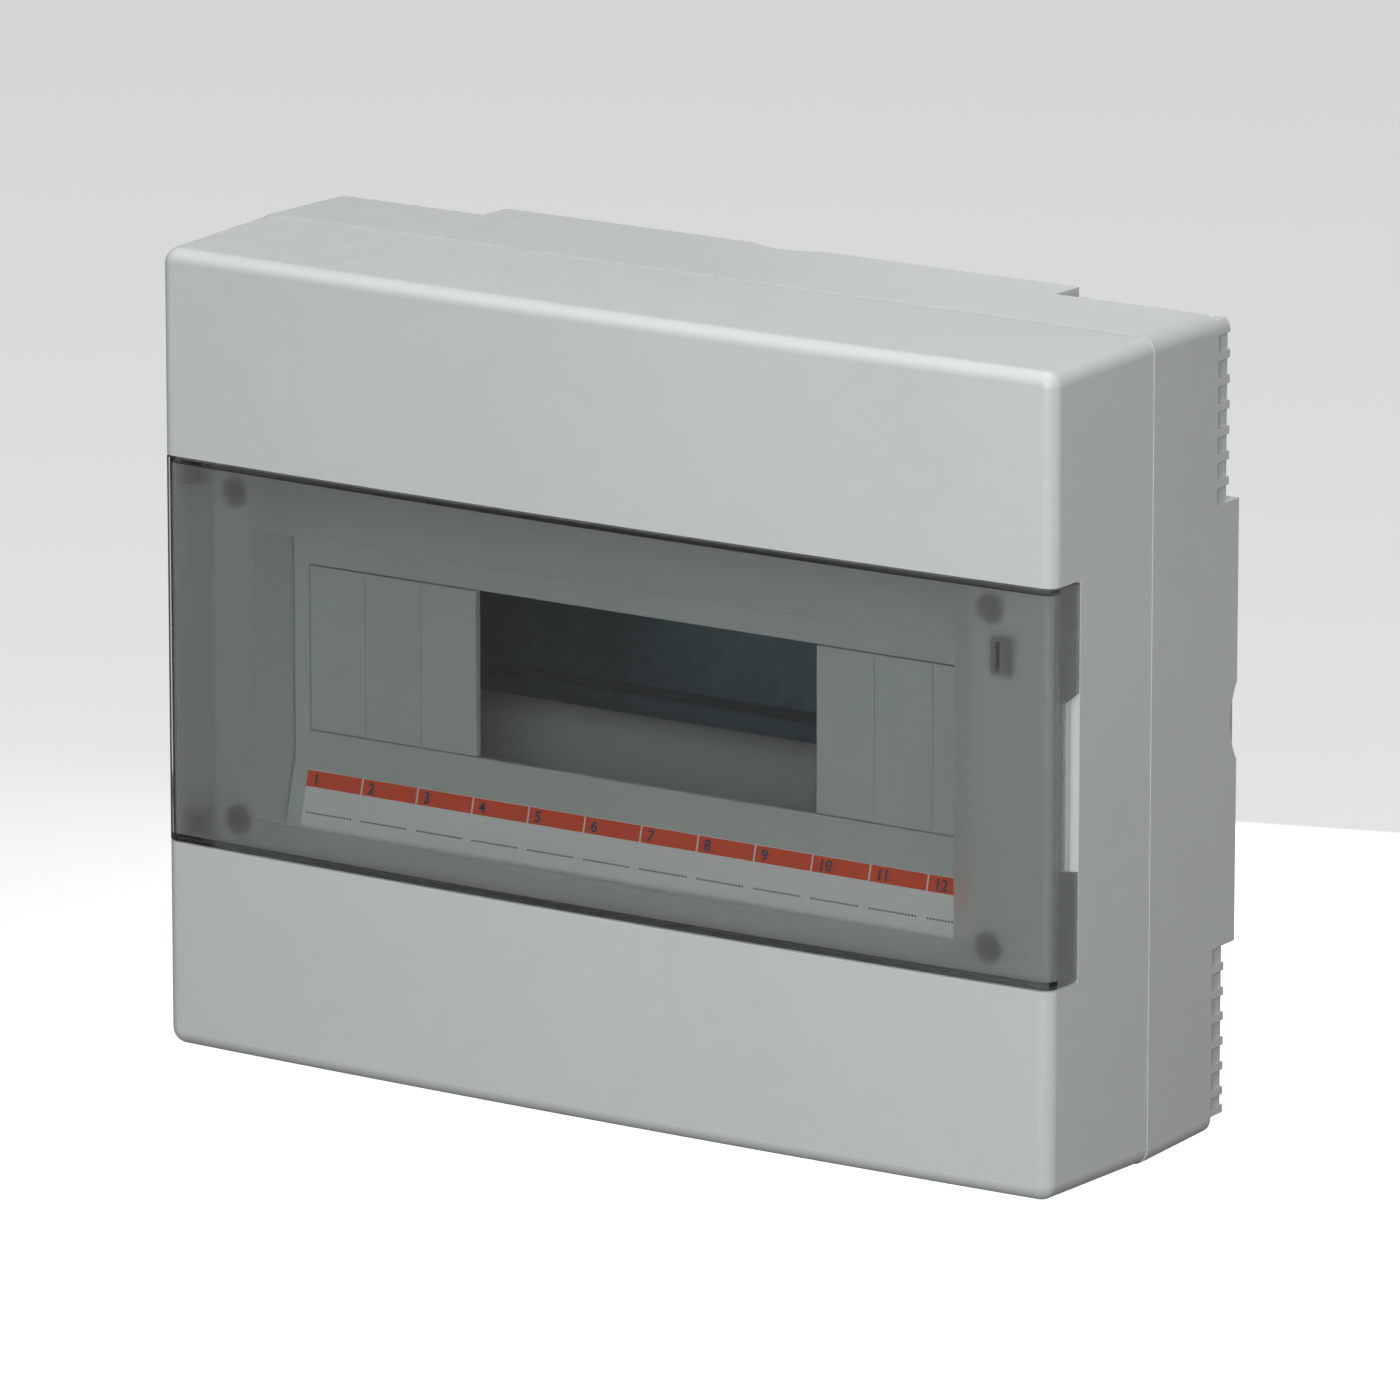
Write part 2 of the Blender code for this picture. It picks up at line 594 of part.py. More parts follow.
def make_door():
    front_half = PARTING_HALF_WIDTH - FRONT_DRAFT
    depth_share = (DOOR_BACK_Y - FRONT_Y) / (PARTING_Y - FRONT_Y)
    back_half = front_half + FRONT_DRAFT * depth_share
    size = DOOR_HALF_HEIGHT
    bm = tapered_block((back_half, size), (front_half, size), DOOR_BACK_Y, FRONT_Y, FRONT_BOW)
    round_edges(bm, lambda edge: on_front_rim(edge) and is_upright(edge), FRONT_EDGE_RADIUS)
    door = finish_part("door", bm, SMOKED_CLEAR)
    inner = (SIDE_FLOOR_X + GAP, size - DOOR_RIM)
    behind = (DOOR_RIM_Y, DOOR_BACK_Y + 2 * MARGIN)
    cut_box(door, "behind_rims", (-inner[0], inner[0]), behind, (-size - MARGIN, size + MARGIN))
    bm = tapered_block(inner, inner, DOOR_BACK_Y + MARGIN, FRONT_Y + DOOR_THICKNESS, FRONT_BOW)
    round_edges(bm, lambda edge: is_upright(edge) and edge.verts[0].co.y < FRONT_Y + WALL, DOOR_THICKNESS)
    apply_helper(door, helper("door_hollow", bm), "DIFFERENCE")
    cut_grip(door, back_half)
    for sign, name in ((1, "upper"), (-1, "lower")):
        knuckle_x = (-SIDE_FLOOR_X - 2 * GAP, HINGE_X + KNUCKLE_HALF)
        knuckle_y = (HINGE_Y - KNUCKLE_HALF, HINGE_Y + KNUCKLE_HALF)
        join_box(door, name + "_knuckle", knuckle_x, knuckle_y, pair(sign * KNUCKLE_LOW, sign * KNUCKLE_HIGH))
        span = pair(sign * (KNUCKLE_LOW - MARGIN), sign * (KNUCKLE_HIGH + MARGIN))
        hinge = [(HINGE_X, HINGE_Y, 0)]
        cut_cylinders(door, name + "_knuckle_bore", AXIS_Z, hinge, span, HINGE_PIN_RADIUS + GAP)
    tongue_x = (CATCH_X - TONGUE_HALF, CATCH_X + TONGUE_HALF)
    tongue_half = CATCH_HALF_HEIGHT - TONGUE_INSET
    tongue_z = (CATCH_Z - tongue_half, CATCH_Z + tongue_half)
    join_box(door, "door_tongue", tongue_x, (FRONT_Y + DOOR_THICKNESS / 4, TONGUE_TIP_Y), tongue_z)
    move_origin(door, Vector((HINGE_X, HINGE_Y, 0)))
    shade(door)


def is_upright(edge):
    first, second = (vert.co for vert in edge.verts)
    return abs(first.z - second.z) > DOOR_HALF_HEIGHT


def cut_grip(door, back_half):
    """The finger grip: a notch with slanting ends in the rear edge of the right-hand wrap."""
    bm = bmesh.new()
    verts = add_box(bm, (SIDE_FLOOR_X - WALL, back_half + MARGIN), (GRIP_Y, DOOR_BACK_Y), (-1, 1))
    for vert in verts:
        half = GRIP_HALF_INNER if vert.co.y < (GRIP_Y + DOOR_BACK_Y) / 2 else GRIP_HALF_OUTER
        vert.co.z *= half
        if vert.co.y > (GRIP_Y + DOOR_BACK_Y) / 2:
            vert.co.y += WALL
    apply_helper(door, helper("grip_notch", bm), "DIFFERENCE")


def move_origin(obj, place):
    """Puts the object's origin on its joint's axis and leaves its shape where it is."""
    obj.data.transform(Matrix.Translation(-place))
    obj.location = place


def make_hinge_pins():
    for sign, name in ((1, "hinge_pin_upper"), (-1, "hinge_pin_lower")):
        bm = bmesh.new()
        span = pair(sign * HINGE_PIN_LOW, sign * HINGE_PIN_HIGH)
        add_cylinder(bm, AXIS_Z, (HINGE_X, HINGE_Y, 0), span, HINGE_PIN_RADIUS)
        shade(finish_part(name, bm, BRIGHT_STEEL))


def make_door_catch():
    bm = bmesh.new()
    catch_x = (CATCH_X - CATCH_HALF_WIDTH, CATCH_X + CATCH_HALF_WIDTH)
    catch_z = (CATCH_Z - CATCH_HALF_HEIGHT, CATCH_Z + CATCH_HALF_HEIGHT)
    add_box(bm, catch_x, (CATCH_FRONT_Y, LAND_Y - GAP), catch_z)
    catch = finish_part("door_catch", bm, DARK_PLASTIC)
    slot_x = (CATCH_X - CATCH_SLOT, CATCH_X + CATCH_SLOT)
    slot_z = (catch_z[0] - MARGIN, catch_z[1] + MARGIN)
    cut_box(catch, "catch_slot", slot_x, (CATCH_FRONT_Y - MARGIN, LAND_Y - 2 * GAP), slot_z)


def make_cover_screws():
    for number, (x, _, z) in enumerate(corner_centres(), start=1):
        place = Vector((x, 0, z))
        bm = bmesh.new()
        head = (COUNTERBORE_Y - GAP - SCREW_HEAD_HEIGHT, COUNTERBORE_Y - GAP)
        add_cylinder(bm, AXIS_Y, (0, 0, 0), head, SCREW_HEAD_RADIUS)
        screw = finish_part(f"cover_screw_{number}", bm, DARK_STEEL)
        shank = (head[0] + GAP, SCREW_TIP_Y)
        shank_name = f"cover_screw_{number}_shank"
        join_cylinders(screw, shank_name, AXIS_Y, [(0, 0, 0)], shank, SCREW_SHANK_RADIUS, SHANK_SIDES)
        reach = SCREW_HEAD_RADIUS + MARGIN
        slot_y = (head[0] - MARGIN, head[0] + SLOT_DEPTH)
        slot_z = (-SLOT_WIDTH / 2, SLOT_WIDTH / 2)
        cut_box(screw, f"cover_screw_{number}_slot", (-reach, reach), slot_y, slot_z)
        for modifier in screw.modifiers:
            modifier.object.parent = screw
        screw.location = place
        shade(screw)


def rail_y():
    """Front plane of the rail's lips and the back of its channel."""
    lips = PANEL_Y + RAIL_TO_PANEL
    return lips, lips + RAIL_DEPTH


def make_rail():
    lips, back = rail_y()
    edge = RAIL_HALF_HEIGHT
    channel = RAIL_CHANNEL_HALF_HEIGHT
    sheet = RAIL_SHEET
    upper = [
        (lips, edge),
        (lips, channel - sheet),
        (back - sheet, channel - sheet),
    ]
    lower = [(y, -z) for y, z in reversed(upper)]
    outer = [
        (lips + sheet, -edge),
        (lips + sheet, -channel),
        (back, -channel),
        (back, channel),
        (lips + sheet, channel),
        (lips + sheet, edge),
    ]
    rail = outline_part("din_rail", upper + lower + outer, RAIL_HALF_LENGTH, GALVANISED)
    centres = [(-RAIL_SCREW_X, 0, 0), (RAIL_SCREW_X, 0, 0)]
    cut_cylinders(rail, "rail_holes", AXIS_Y, centres, (lips, back + MARGIN), RAIL_HOLE_RADIUS)


def make_rail_brackets():
    back = rail_y()[1]
    for sign, name in ((-1, "left"), (1, "right")):
        bm = bmesh.new()
        x = pair(sign * BRACKET_INNER_X, sign * RAIL_HALF_LENGTH)
        add_box(bm, x, (back + GAP, PAD_FLOOR_Y - GAP), (-RAIL_HALF_HEIGHT, RAIL_HALF_HEIGHT))
        bracket = finish_part("rail_bracket_" + name, bm, SHELL_GREY)
        foot_z = RAIL_HALF_HEIGHT + 2 * WALL
        foot_y = (PAD_FLOOR_Y - GAP - WALL, PAD_FLOOR_Y - GAP)
        join_box(bracket, name + "_bracket_foot", x, foot_y, (-foot_z, foot_z))
        centre = [(sign * RAIL_SCREW_X, 0, 0)]
        hole = (back - MARGIN / 2, RAIL_SCREW_TIP_Y + GAP)
        bore = RAIL_SCREW_RADIUS + GAP
        cut_cylinders(bracket, name + "_bracket_hole", AXIS_Y, centre, hole, bore, SHANK_SIDES)
        bm = bmesh.new()
        head = (back - RAIL_SHEET - GAP - SCREW_HEAD_HEIGHT, back - RAIL_SHEET - GAP)
        add_cylinder(bm, AXIS_Y, centre[0], head, RAIL_SCREW_HEAD_RADIUS)
        screw = finish_part("rail_screw_" + name, bm, BRIGHT_STEEL)
        shank = (head[0] + GAP, RAIL_SCREW_TIP_Y - GAP)
        join_cylinders(screw, name + "_rail_shank", AXIS_Y, centre, shank, RAIL_SCREW_RADIUS, SHANK_SIDES)
        reach = RAIL_SCREW_HEAD_RADIUS + GAP
        slot_x = (centre[0][0] - reach, centre[0][0] + reach)
        slot_y = (head[0] - GAP, head[0] + SLOT_DEPTH)
        cut_box(screw, name + "_rail_slot", slot_x, slot_y, (-SLOT_WIDTH / 2, SLOT_WIDTH / 2))
        shade(screw)


def terminal_centres(z):
    start = -(TERMINALS - 1) / 2 * TERMINAL_PITCH
    return [(start + index * TERMINAL_PITCH, 0, z) for index in range(TERMINALS)]


def make_terminal_bar(name, z, holder_material):
    front = BAR_BACK_Y - BAR_THICKNESS
    bm = bmesh.new()
    bar_z = (z - BAR_HALF_HEIGHT, z + BAR_HALF_HEIGHT)
    add_box(bm, (-BAR_HALF_LENGTH, BAR_HALF_LENGTH), (front, BAR_BACK_Y), bar_z)
    bar = finish_part(name + "_bar", bm, BRASS)
    middle = (front + BAR_BACK_Y) / 2
    cable = [(x, middle, 0) for x, _, _ in terminal_centres(z)]
    span = (z - BAR_HALF_HEIGHT - MARGIN, z + BAR_HALF_HEIGHT + MARGIN)
    cut_cylinders(bar, name + "_cable_holes", AXIS_Z, cable, span, CABLE_HOLE_RADIUS, SHANK_SIDES)
    bore = (front - MARGIN, middle)
    radius = TERMINAL_SCREW_RADIUS + GAP
    cut_cylinders(bar, name + "_bores", AXIS_Y, terminal_centres(z), bore, radius, SHANK_SIDES)
    for number, centre in enumerate(terminal_centres(z), start=1):
        make_terminal_screw(f"{name}_screw_{number}", centre, front)
    make_bar_holder(name, z, holder_material)


def make_terminal_screw(name, centre, front):
    bm = bmesh.new()
    head = (front - GAP - TERMINAL_HEAD_HEIGHT, front - GAP)
    add_cylinder(bm, AXIS_Y, centre, head, TERMINAL_HEAD_RADIUS, SHANK_SIDES)
    screw = finish_part(name, bm, BRIGHT_STEEL)
    shank = (head[0] + GAP, front + TERMINAL_SHANK)
    join_cylinders(screw, name + "_shank", AXIS_Y, [centre], shank, TERMINAL_SCREW_RADIUS, TINY_SIDES)
    reach = TERMINAL_HEAD_RADIUS + GAP
    slot_x = (centre[0] - reach, centre[0] + reach)
    slot_y = (head[0] - GAP, head[0] + TERMINAL_SLOT_DEPTH)
    slot_z = (centre[2] - TERMINAL_SLOT_WIDTH / 2, centre[2] + TERMINAL_SLOT_WIDTH / 2)
    cut_box(screw, name + "_slot", slot_x, slot_y, slot_z)
    shade(screw)


def make_bar_holder(name, z, material):
    bm = bmesh.new()
    base_y = (PAD_FLOOR_Y - GAP - HOLDER_BASE, PAD_FLOOR_Y - GAP)
    holder_z = (z - HOLDER_HALF_HEIGHT, z + HOLDER_HALF_HEIGHT)
    add_box(bm, (-HOLDER_HALF_LENGTH, HOLDER_HALF_LENGTH), base_y, holder_z)
    holder = finish_part(name + "_holder", bm, material)
    for sign, side in ((-1, "left"), (1, "right")):
        outer = sign * HOLDER_HALF_LENGTH
        post_x = pair(outer, outer - sign * HOLDER_POST)
        post_z = (z - BAR_HALF_HEIGHT, z + BAR_HALF_HEIGHT)
        join_box(holder, f"{name}_{side}_post", post_x, (BAR_BACK_Y + GAP, base_y[1] - GAP), post_z)
        stop_x = pair(outer, sign * (BAR_HALF_LENGTH + GAP))
        join_box(holder, f"{name}_{side}_stop", stop_x, (BAR_BACK_Y - BAR_THICKNESS, base_y[0]), post_z)


def fixing_centres():
    return [(sx * FIXING_X, 0, sz * FIXING_Z) for sz in (1, -1) for sx in (-1, 1)]


def make_fixing_caps():
    for number, centre in enumerate(fixing_centres(), start=1):
        bm = bmesh.new()
        head = (PAD_FLOOR_Y - GAP - CAP_HEIGHT, PAD_FLOOR_Y - GAP)
        add_cylinder(bm, AXIS_Y, centre, head, CAP_RADIUS)
        cap = finish_part(f"fixing_cap_{number}", bm, SHELL_GREY)
        stub = (head[0] + GAP, CAP_STUB_Y)
        join_cylinders(cap, f"fixing_cap_{number}_stub", AXIS_Y, [centre], stub, FIXING_RADIUS - GAP)
        shade(cap)


clear_scene()
PARTS = make_collection("breaker_panel_box")
CUTTERS = make_collection("cutters")
CUTTERS.hide_render = True
SHELL_GREY = make_material("shell_grey_abs", (0.56, 0.60, 0.58), 0.45)
SMOKED_CLEAR = make_material("smoked_polycarbonate", (0.10, 0.12, 0.12), 0.08, alpha=0.45)
LABEL_WHITE = make_material("printed_label", (0.80, 0.80, 0.78), 0.7)
GALVANISED = make_material("galvanised_steel", (0.45, 0.47, 0.48), 0.4, 1.0)
BRIGHT_STEEL = make_material("zinc_plated_steel", (0.62, 0.62, 0.60), 0.3, 1.0)
DARK_STEEL = make_material("blackened_steel", (0.10, 0.10, 0.10), 0.4, 0.8)
DARK_PLASTIC = make_material("dark_acetal", (0.06, 0.06, 0.065), 0.45)
BRASS = make_material("terminal_brass", (0.70, 0.52, 0.22), 0.3, 1.0)
BLUE_PLASTIC = make_material("neutral_blue_nylon", (0.05, 0.20, 0.55), 0.5)
GREEN_PLASTIC = make_material("earth_green_nylon", (0.08, 0.38, 0.12), 0.5)
make_back_box()
make_front_cover()
make_breaker_panel()
make_blanks()
make_label_strip()
make_door()
make_hinge_pins()
make_door_catch()
make_cover_screws()
make_rail()
make_rail_brackets()
make_terminal_bar("neutral", BAR_Z, BLUE_PLASTIC)
make_terminal_bar("earth", -BAR_Z, GREEN_PLASTIC)
make_fixing_caps()
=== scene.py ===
"""Twelve-module breaker box: the finished look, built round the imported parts.

Frame: metres, +X right, -Y out of the wall, +Z up, origin at the centre of the wall plane.
Run it as a script: each operator makes one piece or one group of like pieces.
"""

import math

import bmesh
import bpy
from mathutils import Matrix, Vector


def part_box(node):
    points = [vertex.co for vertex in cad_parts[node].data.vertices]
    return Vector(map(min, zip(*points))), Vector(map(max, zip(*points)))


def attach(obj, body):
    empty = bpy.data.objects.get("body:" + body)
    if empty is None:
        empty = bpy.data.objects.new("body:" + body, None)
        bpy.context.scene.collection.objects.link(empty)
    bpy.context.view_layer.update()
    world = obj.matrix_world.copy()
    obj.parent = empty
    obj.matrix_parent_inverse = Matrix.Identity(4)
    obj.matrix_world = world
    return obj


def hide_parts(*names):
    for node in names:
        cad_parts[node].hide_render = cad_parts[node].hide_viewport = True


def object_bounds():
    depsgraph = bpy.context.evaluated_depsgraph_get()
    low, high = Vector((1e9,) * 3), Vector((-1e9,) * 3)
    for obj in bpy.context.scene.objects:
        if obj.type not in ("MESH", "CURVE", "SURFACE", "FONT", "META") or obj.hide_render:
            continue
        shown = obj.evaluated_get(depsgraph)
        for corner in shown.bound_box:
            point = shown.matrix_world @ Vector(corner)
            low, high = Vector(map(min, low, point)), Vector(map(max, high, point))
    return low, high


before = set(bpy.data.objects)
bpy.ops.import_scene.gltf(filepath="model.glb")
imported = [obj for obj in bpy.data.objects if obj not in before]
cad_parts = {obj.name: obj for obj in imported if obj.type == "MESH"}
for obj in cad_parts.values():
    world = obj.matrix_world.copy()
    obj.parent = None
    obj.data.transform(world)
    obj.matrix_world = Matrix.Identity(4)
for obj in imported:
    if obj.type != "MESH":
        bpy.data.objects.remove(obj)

bl_info = {
    "name": "Breaker Box",
    "version": (1, 0, 0),
    "blender": (4, 5, 0),
    "location": "View3D > Sidebar > Breaker Box",
    "description": "Builds the moulded shells, door, label and fittings of a twelve-module breaker box",
    "category": "Add Mesh",
}

CAD_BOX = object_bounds()
COVER_LOW, COVER_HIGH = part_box("front_cover")
DOOR_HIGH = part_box("door")[1]
PANEL_LOW, PANEL_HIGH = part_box("breaker_panel")
LABEL_LOW, LABEL_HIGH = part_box("label_strip")
RAIL_LOW, RAIL_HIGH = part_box("din_rail")
PIN_LOW, PIN_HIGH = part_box("hinge_pin_upper")
CATCH_LOW, CATCH_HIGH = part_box("door_catch")
SCREW_NAMES = [f"cover_screw_{number}" for number in range(1, 5)]
FIXING_NAMES = [f"fixing_cap_{number}" for number in range(1, 5)]
BLANK_NAMES = [f"module_blank_{number}" for number in range(1, 7)]
MODULES = 12
# Metres: the gap between touching parts, how far a cutter reaches past what it cuts, and one point's width.
GAP = 0.0003
REACH = 0.01
HAIR = GAP / 100
INK_LIFT = 0.00002
CORNER = math.radians(45)
STEEP = math.radians(60)
FLAT = math.radians(0.05)
ROUND_SIDES = 48
BORE_SIDES = 32
PIN_SIDES = 24
ARC_SIDES = 160
FROST = "frost"
# The door sheet: how dark its plastic is by the metre, what its skin passes, and what lamps get through.
SMOKE_DENSITY = 200.0
SHEET_TINT = (0.57, 0.59, 0.585, 1.0)
LAMP_TINT = (0.66, 0.665, 0.665, 1.0)
# Where most values of a noise lie, and how much a turned part's lines are drawn out along Y.
MIDDLE = (0.3, 0.7)
TURNED = (1.0, 0.2, 1.0)
TURNS = (
    Matrix.Rotation(math.radians(90), 4, "Y"),
    Matrix.Rotation(math.radians(-90), 4, "X"),
    Matrix.Identity(4),
)


def hex_colour(code):
    """An sRGB hex colour as linear RGBA."""
    channels = [int(code[start:start + 2], 16) / 255 for start in (1, 3, 5)]
    linear = [c / 12.92 if c <= 0.04045 else ((c + 0.055) / 1.055) ** 2.4 for c in channels]
    return (*linear, 1.0)


def length(name, description, millimetres):
    return bpy.props.FloatProperty(
        name=name, description=description, default=millimetres / 1000, unit="LENGTH", precision=5
    )


def colour(name, description, code):
    return bpy.props.FloatVectorProperty(
        name=name, description=description, default=hex_colour(code), subtype="COLOR", size=4
    )


class ShellSizes(bpy.types.PropertyGroup):
    """Sizes of the two moulded shells."""

    wall: length("Wall", "Thickness of the moulded wall", 2.8)
    front_draft: length("Front draft", "How much the front face is smaller than the joint, each side", 1.1)
    rear_draft: length("Rear draft", "How much the wall face is smaller than the joint, each side", 0.9)
    cover_inset: length("Cover inset", "Step that catches light along the joint of the shells", 0.25)
    bow: length("Front bow", "How far the middle of the front stands out", 2.5)
    corner_radius: length("Corner radius", "Rounding of the four corners seen from the front", 4.5)
    front_radius: length("Front edge radius", "Rounding between the front and the sides", 3.8)
    edge_radius: length("Edge radius", "Rounding of the other moulded edges", 0.30)
    slot_radius: length("Slot radius", "Rounding of the bands' edges beside the door", 0.9)
    slot_half: length("Door slot", "Half the height of the slot that holds the door", 53.5)
    land: length("Land", "Depth of the land behind the door, from the wall", 86.5)
    land_back: length("Land back", "Rear face of the land, from the wall", 84.2)
    well_half_width: length("Well width", "Half the width of the window well", 113.6)
    well_half_height: length("Well height", "Half the height of the window well", 50.0)
    well_wall: length("Well wall", "Thickness round the window well", 2.2)
    ledge: length("Ledge", "Shelf that holds the breaker panel", 2.1)
    ledge_back: length("Ledge back", "Rear face of that shelf, from the wall", 64.4)
    side_floor: length("Side floor", "Where the floor of the side pockets lies, from the middle", 138.0)
    pocket_right: length("Right pocket", "Rear end of the right pocket, from the wall", 78.6)
    pocket_left: length("Left pocket", "Rear end of the left pocket, from the wall", 75.3)
    pocket_inner: length("Pocket inner", "Inner end of the left pocket, from the middle", 126.0)
    counterbore: length("Counterbore", "Radius of the recess round each cover screw", 4.3)
    counterbore_floor: length("Counterbore floor", "Floor of that recess, from the wall", 84.1)
    sleeve: length("Sleeve", "Outer radius of the screw sleeves", 5.2)
    step: length("Corner step", "How far the cable corners stand off the wall", 5.5)
    rib_front: length("Rib front", "Where the edge ribs end, from the wall", 11.5)
    pad_half_width: length("Pad width", "Half the width of the upright wall pad", 91.0)
    pad_half_height: length("Pad height", "Half the height of the level wall pad", 60.0)
    rib_pitch: length("Rib pitch", "Distance from rib to rib", 6.8)
    rib_width: length("Rib width", "Width of a rib", 2.2)
    rib_depth: length("Rib depth", "How far a rib stands out of its groove", 0.7)
    top_inset: length("Top inset", "How far the upper edge strip is set in", 1.2)
    bottom_inset: length("Bottom inset", "How far the lower edge strip is set in", 4.5)
    notch_chord: length("Notch chord", "Width of the arc notch in the middle of each rear edge", 21.0)
    notch_depth: length("Notch depth", "Depth of that notch", 3.4)
    screw_head: length("Screw head", "Height of a cover screw's head", 2.1)
    screw_shank: length("Screw shank", "Radius of its shank", 1.9)
    screw_slot: length("Screw slot", "Half the width of its slot", 0.55)
    screw_slot_depth: length("Screw slot depth", "Depth of its slot", 0.9)
    lip: length("Lip", "How far the back box reaches into the cover", 3.0)
    corner_floor: length("Corner floor", "Floor inside a cable corner, from the wall", 12.0)
    fixing_hole: length("Fixing hole", "Radius of a wall-fixing hole", 2.75)
    knockout_half: length("Knock-out width", "Half the width of the knock-out", 30.0)
    knockout_low: length("Knock-out low", "Lower edge of the knock-out above the middle", 36.0)
    knockout_high: length("Knock-out high", "Upper edge of the knock-out above the middle", 62.0)
    knockout_groove: length("Knock-out groove", "Width of the groove round the knock-out", 1.2)
    knockout_web: length("Knock-out web", "Depth of that groove", 2.0)


class DoorSizes(bpy.types.PropertyGroup):
    """Sizes of the smoked door."""

    thickness: length("Thickness", "Plate thickness", 2.3)
    rim: length("Rim", "Thickness of the rims along the upper and lower edge", 1.7)
    rim_back: length("Rim back", "Rear face of those rims, from the wall", 86.8)
    inner_radius: length("Inner radius", "Rounding inside the plate's two corners", 1.7)
    edge_radius: length("Edge radius", "Rounding of the polished edges", 0.4)
    front_radius: length("Front radius", "Rounding where the plate wraps round the sides", 3.6)
    grip_outer: length("Grip outer", "Half the height of the finger notch at its mouth", 24.4)
    grip_inner: length("Grip inner", "Half the height of the finger notch at its floor", 22.4)
    grip_floor: length("Grip floor", "Floor of the finger notch, from the wall", 85.3)
    knuckle_low: length("Knuckle low", "Inner end of a hinge knuckle, from the middle", 45.0)
    knuckle_high: length("Knuckle high", "Outer end of a hinge knuckle, from the middle", 52.6)
    knuckle_half: length("Knuckle half", "Half the thickness of a hinge knuckle", 3.2)
    window_half: length("Window width", "Half the width of the clear window", 110.7)
    window_top: length("Window top", "Upper edge of the clear window above the middle", 36.7)
    window_bottom: length("Window bottom", "Lower edge of the clear window below the middle", 39.5)
    fade: length("Frost fade", "Height over which the frosting comes on below the window", 6.0)
    tongue: length("Tongue", "Depth of the catch tongue, from the wall", 87.3)
    tongue_half: length("Tongue half", "Half the thickness of the catch tongue", 0.6)
    tongue_inset: length("Tongue inset", "How much the tongue is shorter than the catch, each end", 1.0)


class PanelSizes(bpy.types.PropertyGroup):
    """Sizes of the breaker panel, its blanks, the label and the rail."""

    pitch: length("Module pitch", "Width of one breaker module", 18.0)
    thickness: length("Thickness", "Sheet thickness of the panel", 2.2)
    face: length("Face", "Front face of the panel, from the wall", 68.4)
    slope_top: length("Slope top", "Where the lower ledge starts to lean forward, below the middle", 30.5)
    slope_run: length("Slope run", "How far that ledge leans forward", 5.2)
    cutout_half: length("Cut-out half", "Half the height of the module row", 22.7)
    groove: length("Groove", "Rounding of the blanks' edges, which draws the lines between them", 0.35)
    label_start: length("Label start", "Gap above the label on the slope", 3.0)
    label_length: length("Label height", "Height of the label strip", 15.0)
    band_height: length("Band height", "Height of the coloured cells", 4.4)
    divider: length("Divider", "White line between two cells", 0.5)
    cell_margin: length("Cell margin", "White edge above the cells", 0.15)
    number_start: length("Number start", "Left edge of a number in its cell", 2.1)
    number_height: length("Number height", "Height of the printed numbers", 3.0)
    dot_pitch: length("Dot pitch", "Distance between the dots of the writing line", 0.95)
    dot_size: length("Dot size", "Width of one dot", 0.5)
    dot_drop: length("Dot drop", "Writing line below the top of the label", 11.3)
    dot_margin: length("Dot margin", "Gap at each end of a cell's writing line", 1.2)
    rail_channel: length("Rail channel", "Half the height of the rail's channel", 12.5)
    rail_sheet: length("Rail sheet", "Sheet thickness of the rail", 1.0)
    rail_bend: length("Rail bend", "Outer bend radius of the rail", 2.0)


class Finishes(bpy.types.PropertyGroup):
    """Colours of the maker's materials."""

    shell: colour("Shell", "Light grey shell moulding", "#C3C8C4")
    smoke: colour("Smoke", "Tint of the smoked door", "#B0B2B1")
    steel: colour("Galvanised steel", "Zinc coat on the rail", "#6F8A92")
    bright: colour("Bright steel", "Zinc-plated screws and pins", "#BDBDB8")
    dark: colour("Dark steel", "Blackened cover screws", "#54585A")
    acetal: colour("Acetal", "Door catch", "#1E1F20")
    brass: colour("Brass", "Terminal bars", "#C9A24E")
    blue: colour("Neutral blue", "Holder of the neutral bar", "#2F6FB4")
    green: colour("Earth green", "Holder of the earth bar", "#3E8F4E")
    card: colour("Card", "Label card", "#ECECEA")
    orange: colour("Orange ink", "Printed cells", "#F04C08")
    ink: colour("Blue ink", "Printed numbers", "#1B3F66")
    dots: colour("Dot ink", "Printed writing line", "#3A3432")


class Studio(bpy.types.PropertyGroup):
    """Camera and light."""

    azimuth: bpy.props.FloatProperty(name="Azimuth", description="Camera to the right", default=33.46)
    elevation: bpy.props.FloatProperty(name="Elevation", description="Camera above level", default=14.15)
    distance: length("Distance", "Camera to its aim", 3271.6)
    aim: bpy.props.FloatVectorProperty(
        name="Aim", description="Point looked at", default=(0.00158, -0.0453, -0.00445), unit="LENGTH"
    )
    lens: bpy.props.FloatProperty(name="Lens", description="Focal length in millimetres", default=316.5)
    floor: colour("Floor", "Plain pale floor", "#F4F4F4")
    floor_drop: length("Floor drop", "How far the floor lies below the object", 350.0)
    floor_glow: bpy.props.FloatProperty(name="Floor glow", description="Light table's glow", default=0.55)


def props():
    return bpy.context.scene


# Node trees ---------------------------------------------------------------------------------------


def add_node(tree, kind, settings=None, links=None):
    """Adds a node: settings are its own values or its sockets' values, and links join sockets."""
    made = tree.nodes.new(kind)
    for key, value in (settings or {}).items():
        if isinstance(key, int) or key in made.inputs:
            made.inputs[key].default_value = value
        else:
            setattr(made, key, value)
    for key, source in (links or {}).items():
        tree.links.new(source, made.inputs[key])
    return made


def new_material(name):
    """A material with one Principled shader, its tree and its object coordinates."""
    made = bpy.data.materials.get(name)
    if made:
        return made, None, None, None
    made = bpy.data.materials.new(name)
    made.use_nodes = True
    tree = made.node_tree
    shader = tree.nodes["Principled BSDF"]
    place = add_node(tree, "ShaderNodeTexCoord").outputs["Object"]
    return made, tree, shader, place


